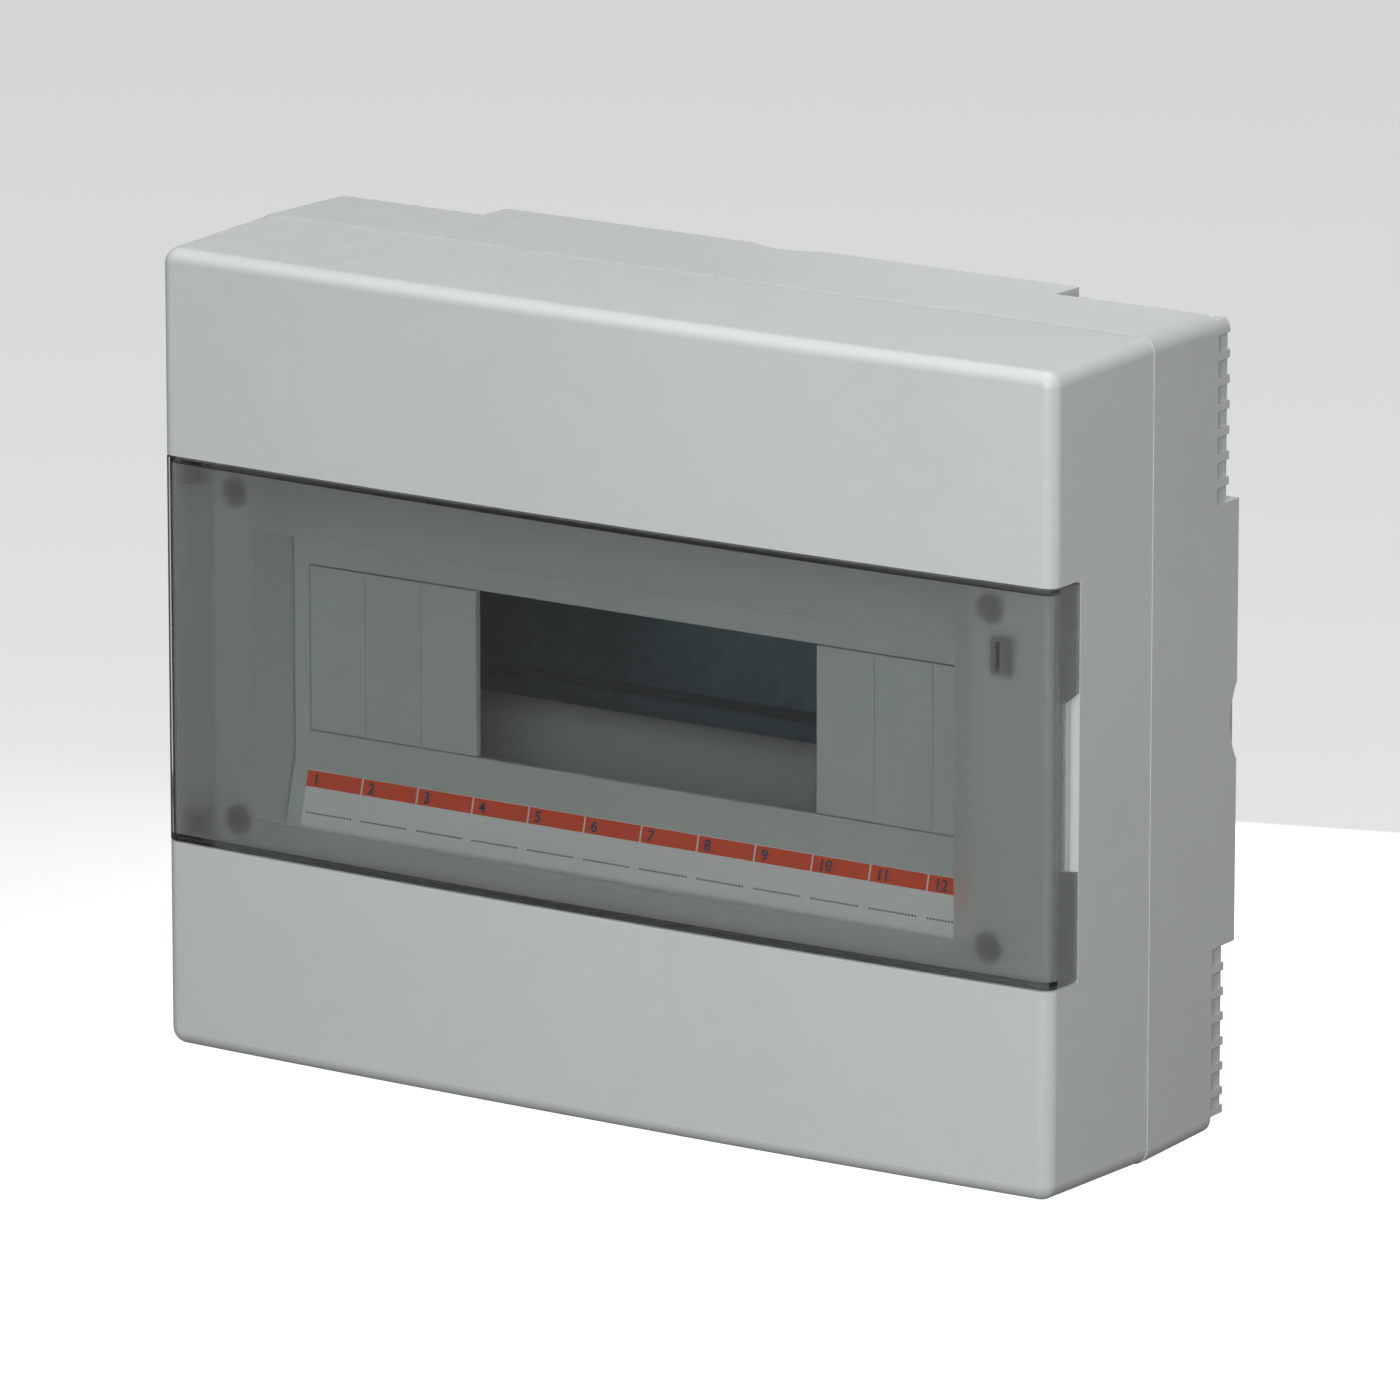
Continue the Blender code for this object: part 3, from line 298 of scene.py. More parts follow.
def features(size, detail=2.0):
    """Settings of a noise whose features are about size metres across."""
    return {"Scale": 1 / size, "Detail": detail, "Roughness": 0.55}


def dress(tree, shader, base, tone, gloss, relief):
    """Gives a shader its colour, gloss and relief, and returns the colour.

    tone is a pattern, the span of its values, and the shares of the base colour at the span's two ends.
    gloss is the same with two roughnesses. relief is a pattern, its bump's strength and depth in metres.
    """
    pattern, span, shares = tone
    spread = {"From Min": span[0], "From Max": span[1]}
    level = add_node(tree, "ShaderNodeMapRange", spread, {"Value": pattern}).outputs[0]
    dark, light = (tuple(min(1.0, channel * share) for channel in base[:3]) + (1.0,) for share in shares)
    mixed = add_node(tree, "ShaderNodeMix", {"data_type": "RGBA", "A": dark, "B": light}, {"Factor": level})
    tree.links.new(mixed.outputs["Result"], shader.inputs["Base Color"])
    pattern, span, roughness = gloss
    spread = {"From Min": span[0], "From Max": span[1], "To Min": roughness[0], "To Max": roughness[1]}
    level = add_node(tree, "ShaderNodeMapRange", spread, {"Value": pattern}).outputs[0]
    tree.links.new(level, shader.inputs["Roughness"])
    pattern, strength, depth = relief
    raised = add_node(tree, "ShaderNodeBump", {"Strength": strength, "Distance": depth}, {"Height": pattern})
    tree.links.new(raised.outputs["Normal"], shader.inputs["Normal"])
    return mixed.outputs["Result"]


def moulded_abs():
    """Injection-moulded ABS from a spark-eroded tool: satin, with a fine grain and faint flow shading."""
    made, tree, shader, place = new_material("Moulded ABS, light grey")
    if tree is None:
        return made
    flow = add_node(tree, "ShaderNodeTexNoise", features(0.09, 3.0), {"Vector": place}).outputs["Fac"]
    mottle = add_node(tree, "ShaderNodeTexNoise", features(0.006, 4.0), {"Vector": place}).outputs["Fac"]
    # The tool's grain is about 0.15 mm; it is drawn at 0.5 mm so that it shows.
    grain = add_node(tree, "ShaderNodeTexNoise", features(0.0005), {"Vector": place}).outputs["Fac"]
    both = add_node(tree, "ShaderNodeMath", {"operation": "MULTIPLY_ADD", 1: 0.35}, {0: mottle, 2: flow})
    tone = (both.outputs[0], (0.45, 0.9), (0.975, 1.012))
    gloss = (mottle, MIDDLE, (0.40, 0.50))
    clean = dress(tree, shader, props().breaker_finish.shell, tone, gloss, (grain, 0.12, 0.0002))
    # Pin-point flecks of burnt pigment, a few centimetres apart, as a moulding has.
    cells = add_node(tree, "ShaderNodeTexVoronoi", {"Scale": 34.0}, {"Vector": place})
    distance = cells.outputs["Distance"]
    near = add_node(tree, "ShaderNodeMath", {"operation": "LESS_THAN", 1: 0.011}, {0: distance})
    chosen = add_node(tree, "ShaderNodeSeparateColor", {}, {"Color": cells.outputs["Color"]})
    few = add_node(tree, "ShaderNodeMath", {"operation": "GREATER_THAN", 1: 0.6}, {0: chosen.outputs[0]})
    both = {0: near.outputs[0], 1: few.outputs[0]}
    fleck = add_node(tree, "ShaderNodeMath", {"operation": "MULTIPLY"}, both)
    settings = {"data_type": "RGBA", "B": hex_colour("#5E625F")}
    mixed = add_node(tree, "ShaderNodeMix", settings, {"Factor": fleck.outputs[0], "A": clean})
    tree.links.new(mixed.outputs["Result"], shader.inputs["Base Color"])
    shader.inputs["IOR"].default_value = 1.53
    return made


def smoked_sheet():
    """Smoked polycarbonate sheet: polished outside, and etched in the tool where the frost attribute is 1.

    Part of the tint is in the plastic, so a look along the sheet goes darker at its edges.
    """
    made, tree, shader, place = new_material("Smoked polycarbonate, part frosted")
    if tree is None:
        return made
    shader.inputs["Base Color"].default_value = SHEET_TINT
    shader.inputs["IOR"].default_value = 1.58
    etched = add_node(tree, "ShaderNodeAttribute", {"attribute_name": FROST}).outputs["Fac"]
    # The etch comes on slowly, so its edge below the window can't be made out.
    squared = add_node(tree, "ShaderNodeMath", {"operation": "MULTIPLY"}, {0: etched, 1: etched})
    frost = squared.outputs[0]
    haze = add_node(tree, "ShaderNodeTexNoise", features(0.012), {"Vector": place}).outputs["Fac"]
    spread = {"From Min": MIDDLE[0], "From Max": MIDDLE[1], "To Min": 0.58, "To Max": 0.64}
    matt = add_node(tree, "ShaderNodeMapRange", spread, {"Value": haze}).outputs[0]
    polish = add_node(tree, "ShaderNodeTexNoise", features(0.015, 3.0), {"Vector": place}).outputs["Fac"]
    spread = {"From Min": MIDDLE[0], "From Max": MIDDLE[1], "To Min": 0.010, "To Max": 0.030}
    smooth = add_node(tree, "ShaderNodeMapRange", spread, {"Value": polish}).outputs[0]
    rough = add_node(tree, "ShaderNodeMix", {"data_type": "FLOAT"}, {"Factor": frost, "A": smooth, "B": matt})
    tree.links.new(rough.outputs["Result"], shader.inputs["Roughness"])
    # The etched face scatters a little light back, as a white veil.
    veil = add_node(tree, "ShaderNodeMapRange", {"To Min": 1.0, "To Max": 0.73}, {"Value": frost})
    tree.links.new(veil.outputs[0], shader.inputs["Transmission Weight"])
    # Lamps shine through the sheet, dimmed by its surfaces.
    lamp = add_node(tree, "ShaderNodeLightPath").outputs["Is Shadow Ray"]
    clear = add_node(tree, "ShaderNodeBsdfTransparent", {"Color": LAMP_TINT})
    mixed = add_node(tree, "ShaderNodeMixShader", {}, {0: lamp, 1: shader.outputs[0], 2: clear.outputs[0]})
    output = tree.nodes["Material Output"]
    tree.links.new(mixed.outputs[0], output.inputs["Surface"])
    tint = tuple(props().breaker_finish.smoke)
    smoke = add_node(tree, "ShaderNodeVolumeAbsorption", {"Color": tint, "Density": SMOKE_DENSITY})
    tree.links.new(smoke.outputs[0], output.inputs["Volume"])
    return made


def galvanised():
    """Hot-dip galvanised strip, roll-formed: grey zinc spangle in soft crystals a few millimetres wide."""
    made, tree, shader, place = new_material("Galvanised steel strip")
    if tree is None:
        return made
    spangle = add_node(tree, "ShaderNodeTexVoronoi", {"Scale": 260.0, "Randomness": 1.0}, {"Vector": place})
    crystal = add_node(tree, "ShaderNodeSeparateColor", {}, {"Color": spangle.outputs["Color"]}).outputs[0]
    fine = add_node(tree, "ShaderNodeTexNoise", features(0.0012, 4.0), {"Vector": place}).outputs["Fac"]
    both = add_node(tree, "ShaderNodeMath", {"operation": "MULTIPLY_ADD", 1: 0.5}, {0: crystal, 2: fine})
    tone = (both.outputs[0], (0.3, 1.1), (0.86, 1.12))
    gloss = (both.outputs[0], (0.3, 1.1), (0.32, 0.46))
    dress(tree, shader, props().breaker_finish.steel, tone, gloss, (fine, 0.1, 0.0002))
    shader.inputs["Metallic"].default_value = 1.0
    return made


def metal(name, base, roughness, stretch):
    """A drawn or turned metal whose fine lines run the way the tool went."""
    made, tree, shader, place = new_material(name)
    if tree is None:
        return made
    drawn = add_node(tree, "ShaderNodeMapping", {"Scale": stretch}, {"Vector": place}).outputs[0]
    lines = add_node(tree, "ShaderNodeTexNoise", features(0.0003, 3.0), {"Vector": drawn}).outputs["Fac"]
    cloud = add_node(tree, "ShaderNodeTexNoise", features(0.004), {"Vector": place}).outputs["Fac"]
    gloss = (lines, MIDDLE, (roughness * 0.8, roughness * 1.2))
    dress(tree, shader, base, (cloud, MIDDLE, (0.9, 1.08)), gloss, (lines, 0.15, 0.0001))
    shader.inputs["Metallic"].default_value = 1.0
    return made


def plastic(name, base, roughness, grain):
    """Moulded engineering plastic with a faint mottle and tool grain."""
    made, tree, shader, place = new_material(name)
    if tree is None:
        return made
    mottle = add_node(tree, "ShaderNodeTexNoise", features(0.003, 3.0), {"Vector": place}).outputs["Fac"]
    tooled = add_node(tree, "ShaderNodeTexNoise", features(grain), {"Vector": place}).outputs["Fac"]
    gloss = (mottle, MIDDLE, (roughness * 0.9, roughness * 1.1))
    dress(tree, shader, base, (mottle, MIDDLE, (0.9, 1.1)), gloss, (tooled, 0.12, 0.0002))
    return made


def printed(name, base, roughness, fibre):
    """Coated card or the ink on it: a faint paper fibre under an even print."""
    made, tree, shader, place = new_material(name)
    if tree is None:
        return made
    drawn = add_node(tree, "ShaderNodeMapping", {"Scale": (1.0, 1.0, 2.5)}, {"Vector": place}).outputs[0]
    fibres = add_node(tree, "ShaderNodeTexNoise", features(fibre, 4.0), {"Vector": drawn}).outputs["Fac"]
    gloss = (fibres, MIDDLE, (roughness * 0.92, roughness * 1.08))
    dress(tree, shader, base, (fibres, MIDDLE, (0.95, 1.03)), gloss, (fibres, 0.08, 0.0001))
    return made


# Meshes -------------------------------------------------------------------------------------------


def pair(first, second):
    return (min(first, second), max(first, second))


def add_box(bm, x, y, z):
    """A box between the pairs x, y and z; returns its vertices."""
    made = bmesh.ops.create_cube(bm, size=1.0)["verts"]
    bmesh.ops.scale(bm, vec=Vector((x[1] - x[0], y[1] - y[0], z[1] - z[0])), verts=made)
    bmesh.ops.translate(bm, vec=Vector((sum(x), sum(y), sum(z))) / 2, verts=made)
    return made


def box_mesh(x, y, z):
    bm = bmesh.new()
    add_box(bm, x, y, z)
    return bm


def add_cylinder(bm, axis, centre, span, radius, sides=ROUND_SIDES):
    """A cylinder along axis, between the two values of span."""
    place = Vector(centre)
    place[axis] = sum(span) / 2
    bmesh.ops.create_cone(
        bm, cap_ends=True, segments=sides, radius1=radius, radius2=radius,
        depth=span[1] - span[0], matrix=Matrix.Translation(place) @ TURNS[axis],
    )


def cylinders_mesh(axis, centres, span, radius, sides=ROUND_SIDES):
    bm = bmesh.new()
    for centre in centres:
        add_cylinder(bm, axis, centre, span, radius, sides)
    return bm


def new_piece(name, bm, *materials):
    """A mesh object at the origin, its faces turned outwards."""
    bmesh.ops.recalc_face_normals(bm, faces=bm.faces)
    mesh = bpy.data.meshes.new(name)
    bm.to_mesh(mesh)
    bm.free()
    for material in materials:
        mesh.materials.append(material)
    made = bpy.data.objects.new(name, mesh)
    bpy.context.scene.collection.objects.link(made)
    return made


def settle(obj):
    """Keeps what the modifiers make as the object's own mesh."""
    bpy.context.view_layer.update()
    graph = bpy.context.evaluated_depsgraph_get()
    mesh = bpy.data.meshes.new_from_object(obj.evaluated_get(graph), depsgraph=graph)
    obj.modifiers.clear()
    old = obj.data
    obj.data = mesh
    bpy.data.meshes.remove(old)


def carve(obj, steps):
    """Joins or cuts each shape in turn: steps are pairs of an operation and a bmesh."""
    tools = []
    for operation, bm in steps:
        tool = new_piece(obj.name + "_tool", bm)
        modifier = obj.modifiers.new(operation, "BOOLEAN")
        modifier.operation = operation
        modifier.solver = "EXACT"
        modifier.object = tool
        tools.append(tool)
    settle(obj)
    for tool in tools:
        bpy.data.objects.remove(tool, do_unlink=True)


def round_edges(obj, width, segments=2, angle=35):
    """Rounds the edges sharper than angle."""
    bm = bmesh.new()
    bm.from_mesh(obj.data)
    bmesh.ops.remove_doubles(bm, verts=bm.verts, dist=HAIR)
    bmesh.ops.dissolve_limit(bm, angle_limit=FLAT, verts=bm.verts, edges=bm.edges)
    bm.to_mesh(obj.data)
    bm.free()
    modifier = obj.modifiers.new("rounded_edges", "BEVEL")
    modifier.width = width
    modifier.segments = segments
    modifier.limit_method = "ANGLE"
    modifier.angle_limit = math.radians(angle)
    modifier.use_clamp_overlap = True
    settle(obj)


def weight_normals(obj):
    """Shades the piece smooth, led by its large faces."""
    obj.data.shade_smooth()
    modifier = obj.modifiers.new("weighted_normals", "WEIGHTED_NORMAL")
    modifier.keep_sharp = True
    settle(obj)


def soften(obj, width, segments=2, angle=35):
    round_edges(obj, width, segments, angle)
    weight_normals(obj)


def bevel_edges(bm, wanted, radius, segments=8):
    chosen = [edge for edge in bm.edges if wanted(edge)]
    bmesh.ops.bevel(
        bm, geom=chosen, offset=radius, offset_type="OFFSET", affect="EDGES",
        segments=segments, profile=0.5, material=-1, clamp_overlap=True,
    )


def tapered_block(back, front, back_y, front_y, bow=0.0, z=None, columns=32):
    """A block between two rectangles given as (half width, half height), its front bowed outward in plan."""
    bm = box_mesh((-1, 1), (front_y, back_y), (-1, 1))
    for vert in bm.verts:
        half = front if vert.co.y < (back_y + front_y) / 2 else back
        low, high = z or (-half[1], half[1])
        vert.co.x *= half[0]
        vert.co.z = high if vert.co.z > 0 else low
    if bow:
        along = [e for e in bm.edges if abs(e.verts[0].co.x - e.verts[1].co.x) > front[0]]
        bmesh.ops.subdivide_edges(bm, edges=along, cuts=columns - 1, use_grid_fill=True)
        for vert in bm.verts:
            if abs(vert.co.y - front_y) < GAP:
                vert.co.y -= bow * (1 - (vert.co.x / front[0]) ** 2)
    return bm


def runs_along_y(edge):
    first, second = (vert.co for vert in edge.verts)
    across = Vector((first.x - second.x, first.z - second.z)).length
    return abs(first.y - second.y) > 4 * across and edge.calc_face_angle(0) > STEEP


def on_front_rim(edge, front_y):
    return all(v.co.y < front_y + GAP for v in edge.verts) and edge.calc_face_angle(0) > CORNER


def is_upright(edge):
    first, second = (vert.co for vert in edge.verts)
    return abs(first.z - second.z) > 2 * abs(first.x - second.x) + REACH


# Shared places ------------------------------------------------------------------------------------


def parting_y():
    return COVER_HIGH.y + GAP


def front_y():
    return COVER_LOW.y + props().breaker_shell.bow


def centres(names):
    """Where these CAD nodes stand."""
    return [tuple((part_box(name)[0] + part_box(name)[1]) / 2) for name in names]


def rear_floor():
    """Front face of the back wall, on which the rail brackets stand."""
    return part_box("rail_bracket_left")[1].y + GAP


def finish_cad(names, material):
    """Gives CAD nodes a finished material."""
    for name in names:
        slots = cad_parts[name].data.materials
        slots.clear()
        slots.append(material)


def place_piece(obj, body, slot, *nodes):
    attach(obj, body)
    if nodes:
        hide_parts(*nodes)


class BREAKER_OT_back_box(bpy.types.Operator):
    """Make the back box, with its ribbed cable corners and wall pads"""

    bl_idname = "breaker.back_box"
    bl_label = "Back Box"
    bl_options = {"REGISTER", "UNDO"}

    def execute(self, context):
        s = context.scene.breaker_shell
        half_x, half_z = COVER_HIGH.x, COVER_HIGH.z
        rear = (half_x - s.rear_draft, half_z - s.rear_draft)
        bm = tapered_block(rear, (half_x, half_z), 0, parting_y())
        bevel_edges(bm, runs_along_y, s.corner_radius)
        piece = new_piece("back_box_shell", bm, moulded_abs())
        steps = self.hollow(s, half_x, half_z)
        for side_x in (-1, 1):
            for side_z in (-1, 1):
                steps += self.cable_corner(s, side_x, side_z, rear)
        steps += self.arc_notches(s, rear)
        steps += self.bores(s) + self.knockout(s)
        carve(piece, steps)
        soften(piece, s.edge_radius * 0.8)
        place_piece(piece, "box", "shell", "back_box")
        return {"FINISHED"}

    def bores(self, s):
        """The posts of the cover screws with their bores, and the wall-fixing holes."""
        screws = centres(SCREW_NAMES)
        post = (parting_y() - GAP, rear_floor() + s.wall / 2)
        bore = (parting_y() - REACH, -3 * REACH)
        hole = (rear_floor() - REACH / 2, REACH)
        return [
            ("UNION", cylinders_mesh(1, screws, post, s.sleeve - GAP, BORE_SIDES)),
            ("DIFFERENCE", cylinders_mesh(1, screws, bore, s.counterbore / 2, BORE_SIDES)),
            ("DIFFERENCE", cylinders_mesh(1, centres(FIXING_NAMES), hole, s.fixing_hole, BORE_SIDES)),
        ]

    def knockout(self, s):
        """A panel that a groove all round lets the fitter break out of the back wall."""
        half, edge = s.knockout_half, s.knockout_groove
        low, high = s.knockout_low, s.knockout_high
        groove = box_mesh((-half, half), (-s.knockout_web, REACH), (low, high))
        filled = (-s.knockout_web - GAP, 0)
        return [
            ("DIFFERENCE", groove),
            ("UNION", box_mesh((edge - half, half - edge), filled, (low + edge, high - edge))),
        ]

    def hollow(self, s, half_x, half_z):
        """The lip that enters the cover, and the hollows behind it."""
        lip_x = half_x - s.front_draft - s.wall - 2 * GAP
        lip_z = half_z - s.front_draft - s.wall - 2 * GAP
        lip_y = (parting_y() - s.lip, parting_y() + s.wall)
        lip_wall = s.wall / 2 - GAP / 3
        inner_x = half_x - s.wall - s.rear_draft
        inner_z = half_z - s.wall - s.rear_draft
        corner_floor = -s.corner_floor
        pad_x = s.pad_half_width - s.wall
        pad_z = s.pad_half_height - s.wall
        deep = (corner_floor - s.wall, rear_floor())
        mouth_x, mouth_z = lip_x - lip_wall, lip_z - lip_wall
        mouth = box_mesh((-mouth_x, mouth_x), (lip_y[0] - REACH, lip_y[1] + s.wall), (-mouth_z, mouth_z))
        return [
            ("UNION", box_mesh((-lip_x, lip_x), lip_y, (-lip_z, lip_z))),
            ("DIFFERENCE", mouth),
            ("DIFFERENCE", box_mesh((-inner_x, inner_x), (lip_y[1], corner_floor), (-inner_z, inner_z))),
            ("DIFFERENCE", box_mesh((-pad_x, pad_x), deep, (-inner_z, inner_z))),
            ("DIFFERENCE", box_mesh((-inner_x, inner_x), deep, (-pad_z, pad_z))),
        ]

    def cable_corner(self, s, side_x, side_z, rear):
        """One corner that stands back from the wall, with ribs at an even pitch along its edges."""
        far_x = side_x * (rear[0] + REACH)
        far_z = side_z * (rear[1] + REACH)
        near_x = side_x * s.pad_half_width
        near_z = side_z * s.pad_half_height
        strip_z = rear[1] - (s.top_inset if side_z > 0 else s.bottom_inset)
        strip_y = (-s.rib_front, REACH)
        grooves = bmesh.new()
        groove = s.rib_pitch - s.rib_width
        floor_x = rear[0] - s.rib_depth
        start = s.pad_half_height
        while start < strip_z - s.rib_width:
            end = min(start + groove, strip_z - s.rib_width)
            add_box(grooves, pair(side_x * floor_x, far_x), strip_y, pair(side_z * start, side_z * end))
            start += s.rib_pitch
        floor_z = strip_z - s.rib_depth
        start = s.pad_half_width
        while start < rear[0] - s.rib_width:
            end = min(start + groove, rear[0] - s.rib_width)
            add_box(grooves, pair(side_x * start, side_x * end), strip_y, pair(side_z * floor_z, far_z))
            start += s.rib_pitch
        return [
            ("DIFFERENCE", box_mesh(pair(near_x, far_x), (-s.step, REACH), pair(near_z, far_z))),
            ("DIFFERENCE", box_mesh(pair(near_x, far_x), strip_y, pair(side_z * strip_z, far_z))),
            ("DIFFERENCE", grooves),
        ]

    def arc_notches(self, s, rear):
        """A shallow arc in the middle of each rear edge."""
        half = s.notch_chord / 2
        radius = (half**2 + s.notch_depth**2) / (2 * s.notch_depth)
        centre = (0, radius - s.notch_depth, 0)
        steps = []
        for axis, size in ((2, rear[1]), (0, rear[0])):
            for side in (-1, 1):
                span = pair(side * (size - s.wall / 2), side * (size + REACH))
                steps.append(("DIFFERENCE", cylinders_mesh(axis, [centre], span, radius, ARC_SIDES)))
        return steps


class BREAKER_OT_front_cover(bpy.types.Operator):
    """Make the front cover, with its bowed bands, door slot and window well"""

    bl_idname = "breaker.front_cover"
    bl_label = "Front Cover"
    bl_options = {"REGISTER", "UNDO"}

    def execute(self, context):
        s = context.scene.breaker_shell
        joint = (COVER_HIGH.x - s.cover_inset, COVER_HIGH.z - s.cover_inset)
        front = (COVER_HIGH.x - s.front_draft, COVER_HIGH.z - s.front_draft)
        bm = tapered_block(joint, front, COVER_HIGH.y + GAP / 2, front_y(), s.bow)
        bevel_edges(bm, runs_along_y, s.corner_radius)
        bevel_edges(bm, lambda edge: on_front_rim(edge, front_y()), s.front_radius)
        piece = new_piece("front_cover_shell", bm, moulded_abs())
        steps = self.hollow(s, front) + self.recess(s)
        screws = centres(SCREW_NAMES)
        sleeve = (-s.land_back - GAP, parting_y() - 2 * GAP)
        steps.append(("UNION", cylinders_mesh(1, screws, sleeve, s.sleeve)))
        floor = (front_y() - REACH, -s.counterbore_floor)
        steps.append(("DIFFERENCE", cylinders_mesh(1, screws, floor, s.counterbore)))
        through = (front_y() - REACH, parting_y() + REACH)
        steps.append(("DIFFERENCE", cylinders_mesh(1, screws, through, s.counterbore / 2)))
        hinge = tuple((PIN_LOW + PIN_HIGH) / 2)
        bore = (PIN_HIGH.x - PIN_LOW.x) / 2 + GAP
        for side in (-1, 1):
            span = pair(side * (s.slot_half - s.wall), side * (s.slot_half + 2 * s.wall))
            steps.append(("DIFFERENCE", cylinders_mesh(2, [hinge], span, bore, PIN_SIDES)))
        carve(piece, steps)
        self.round_slot(piece, s)
        soften(piece, s.edge_radius)
        place_piece(piece, "box", "shell", "front_cover")
        return {"FINISHED"}

    def round_slot(self, piece, s):
        """Rounds the front edges of the bands, above and below the door."""
        bm = bmesh.new()
        bm.from_mesh(piece.data)
        bmesh.ops.remove_doubles(bm, verts=bm.verts, dist=HAIR)
        bevel_edges(bm, lambda edge: self.beside_door(edge, s), s.slot_radius, 4)
        bm.to_mesh(piece.data)
        bm.free()

    def beside_door(self, edge, s):
        for vert in edge.verts:
            if vert.co.y > front_y() + GAP or abs(abs(vert.co.z) - s.slot_half) > GAP / 10:
                return False
        return edge.calc_face_angle(0) > CORNER

    def hollow(self, s, front):
        inner = (front[0] - s.wall, front[1] - s.wall)
        back = -s.ledge_back
        behind = (back, parting_y() + REACH)
        steps = [("DIFFERENCE", box_mesh((-inner[0], inner[0]), behind, (-inner[1], inner[1])))]
        tray = s.slot_half + s.well_wall
        for side in (-1, 1):
            z = pair(side * tray, side * inner[1])
            shape = tapered_block(inner, inner, back + s.wall, front_y() + s.wall, s.bow, z)
            steps.append(("DIFFERENCE", shape))
        ring = s.well_half_width + s.well_wall
        land_z = (GAP - s.slot_half, s.slot_half - GAP)
        side_z = (-tray - s.wall, tray + s.wall)
        side_x = inner[0] + GAP
        left = -s.pocket_left + s.well_wall
        right = -s.pocket_right + s.well_wall
        left_land = (s.well_wall - s.pocket_inner, -ring - GAP)
        right_land = (ring + GAP, s.side_floor - s.well_wall)
        steps.append(("DIFFERENCE", box_mesh(left_land, (-s.land_back, left + GAP), land_z)))
        steps.append(("DIFFERENCE", box_mesh((-side_x, -ring), (left, back + s.wall), side_z)))
        steps.append(("DIFFERENCE", box_mesh(right_land, (-s.land_back, right + GAP), land_z)))
        steps.append(("DIFFERENCE", box_mesh((ring, side_x), (right, back + s.wall), side_z)))
        return steps

    def recess(self, s):
        ahead = front_y() - REACH
        far = COVER_HIGH.x + REACH
        slot_z = (-s.slot_half, s.slot_half)
        well_x = (-s.well_half_width, s.well_half_width)
        well_z = (-s.well_half_height, s.well_half_height)
        seat = PANEL_HIGH.y + GAP
        ledge_x = s.well_half_width - s.ledge
        ledge_z = s.well_half_height - s.ledge
        return [
            ("DIFFERENCE", box_mesh((-far, far), (ahead, -s.land), slot_z)),
            ("DIFFERENCE", box_mesh((-far, -s.pocket_inner), (ahead, -s.pocket_left), slot_z)),
            ("DIFFERENCE", box_mesh((s.side_floor, far), (ahead, -s.pocket_right), slot_z)),
            ("DIFFERENCE", box_mesh(well_x, (ahead, seat), well_z)),
            ("DIFFERENCE", box_mesh((-ledge_x, ledge_x), (ahead, REACH - s.ledge_back), (-ledge_z, ledge_z))),
        ]


def slope_y(z):
    """Front face of the panel's forward-leaning ledge at height z."""
    p = props().breaker_panel
    share = (-p.slope_top - z) / (-p.slope_top - PANEL_LOW.z)
    return -p.face - p.slope_run * share


def extruded(points, half_length):
    """A solid from a closed outline of (y, z) points, extruded along X to both sides."""
    bm = bmesh.new()
    ring = [bm.verts.new((-half_length, y, z)) for y, z in points]
    face = bm.faces.new(ring)
    moved = bmesh.ops.extrude_face_region(bm, geom=[face])["geom"]
    verts = [item for item in moved if isinstance(item, bmesh.types.BMVert)]
    bmesh.ops.translate(bm, vec=(2 * half_length, 0, 0), verts=verts)
    return bm


class BREAKER_OT_panel(bpy.types.Operator):
    """Make the breaker panel and its six blanks"""

    bl_idname = "breaker.panel"
    bl_label = "Breaker Panel"
    bl_options = {"REGISTER", "UNDO"}

    def execute(self, context):
        p = context.scene.breaker_panel
        top = PANEL_HIGH.z
        low = PANEL_LOW.z
        back = -p.face + p.thickness
        outline = [
            (-p.face, top),
            (-p.face, -p.slope_top),
            (slope_y(low), low),
            (slope_y(low) + p.thickness, low),
            (back, -p.slope_top),
            (back, top),
        ]
        piece = new_piece("breaker_panel_sheet", extruded(outline, PANEL_HIGH.x), moulded_abs())
        half = MODULES / 2 * p.pitch + GAP
        high = p.cutout_half + GAP
        row = box_mesh((-half, half), (-p.face - REACH, back + REACH), (-high, high))
        carve(piece, [("DIFFERENCE", row)])
        soften(piece, p.groove, 2, 50)
        place_piece(piece, "box", "shell_inner", "breaker_panel")
        for name in BLANK_NAMES:
            self.make_blank(p, name)
        return {"FINISHED"}

    def make_blank(self, p, name):
        """A snap-in filler: a plate with a hooked lip behind its top and bottom edges."""
        low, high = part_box(name)
        middle = (low.x + high.x) / 2
        clip = (middle - p.pitch / 4, middle + p.pitch / 4)
        web = high.z - p.cutout_half
        plate_z = (-p.cutout_half, p.cutout_half)
        plate = box_mesh((low.x - GAP / 3, high.x + GAP / 3), (low.y, -p.face + p.thickness), plate_z)
        piece = new_piece(name + "_filler", plate, moulded_abs())
        hook_y = -p.face + p.thickness + GAP
        steps = []
        for side in (-1, 1):
            web_z = pair(side * (p.cutout_half - web), side * p.cutout_half)
            hook_z = pair(side * (p.cutout_half - web), side * high.z)
            steps.append(("UNION", box_mesh(clip, (low.y + p.thickness / 2, high.y - GAP), web_z)))
            steps.append(("UNION", box_mesh(clip, (hook_y, high.y), hook_z)))
        carve(piece, steps)
        soften(piece, p.groove, 2)
        place_piece(piece, "box", "shell_inner", name)


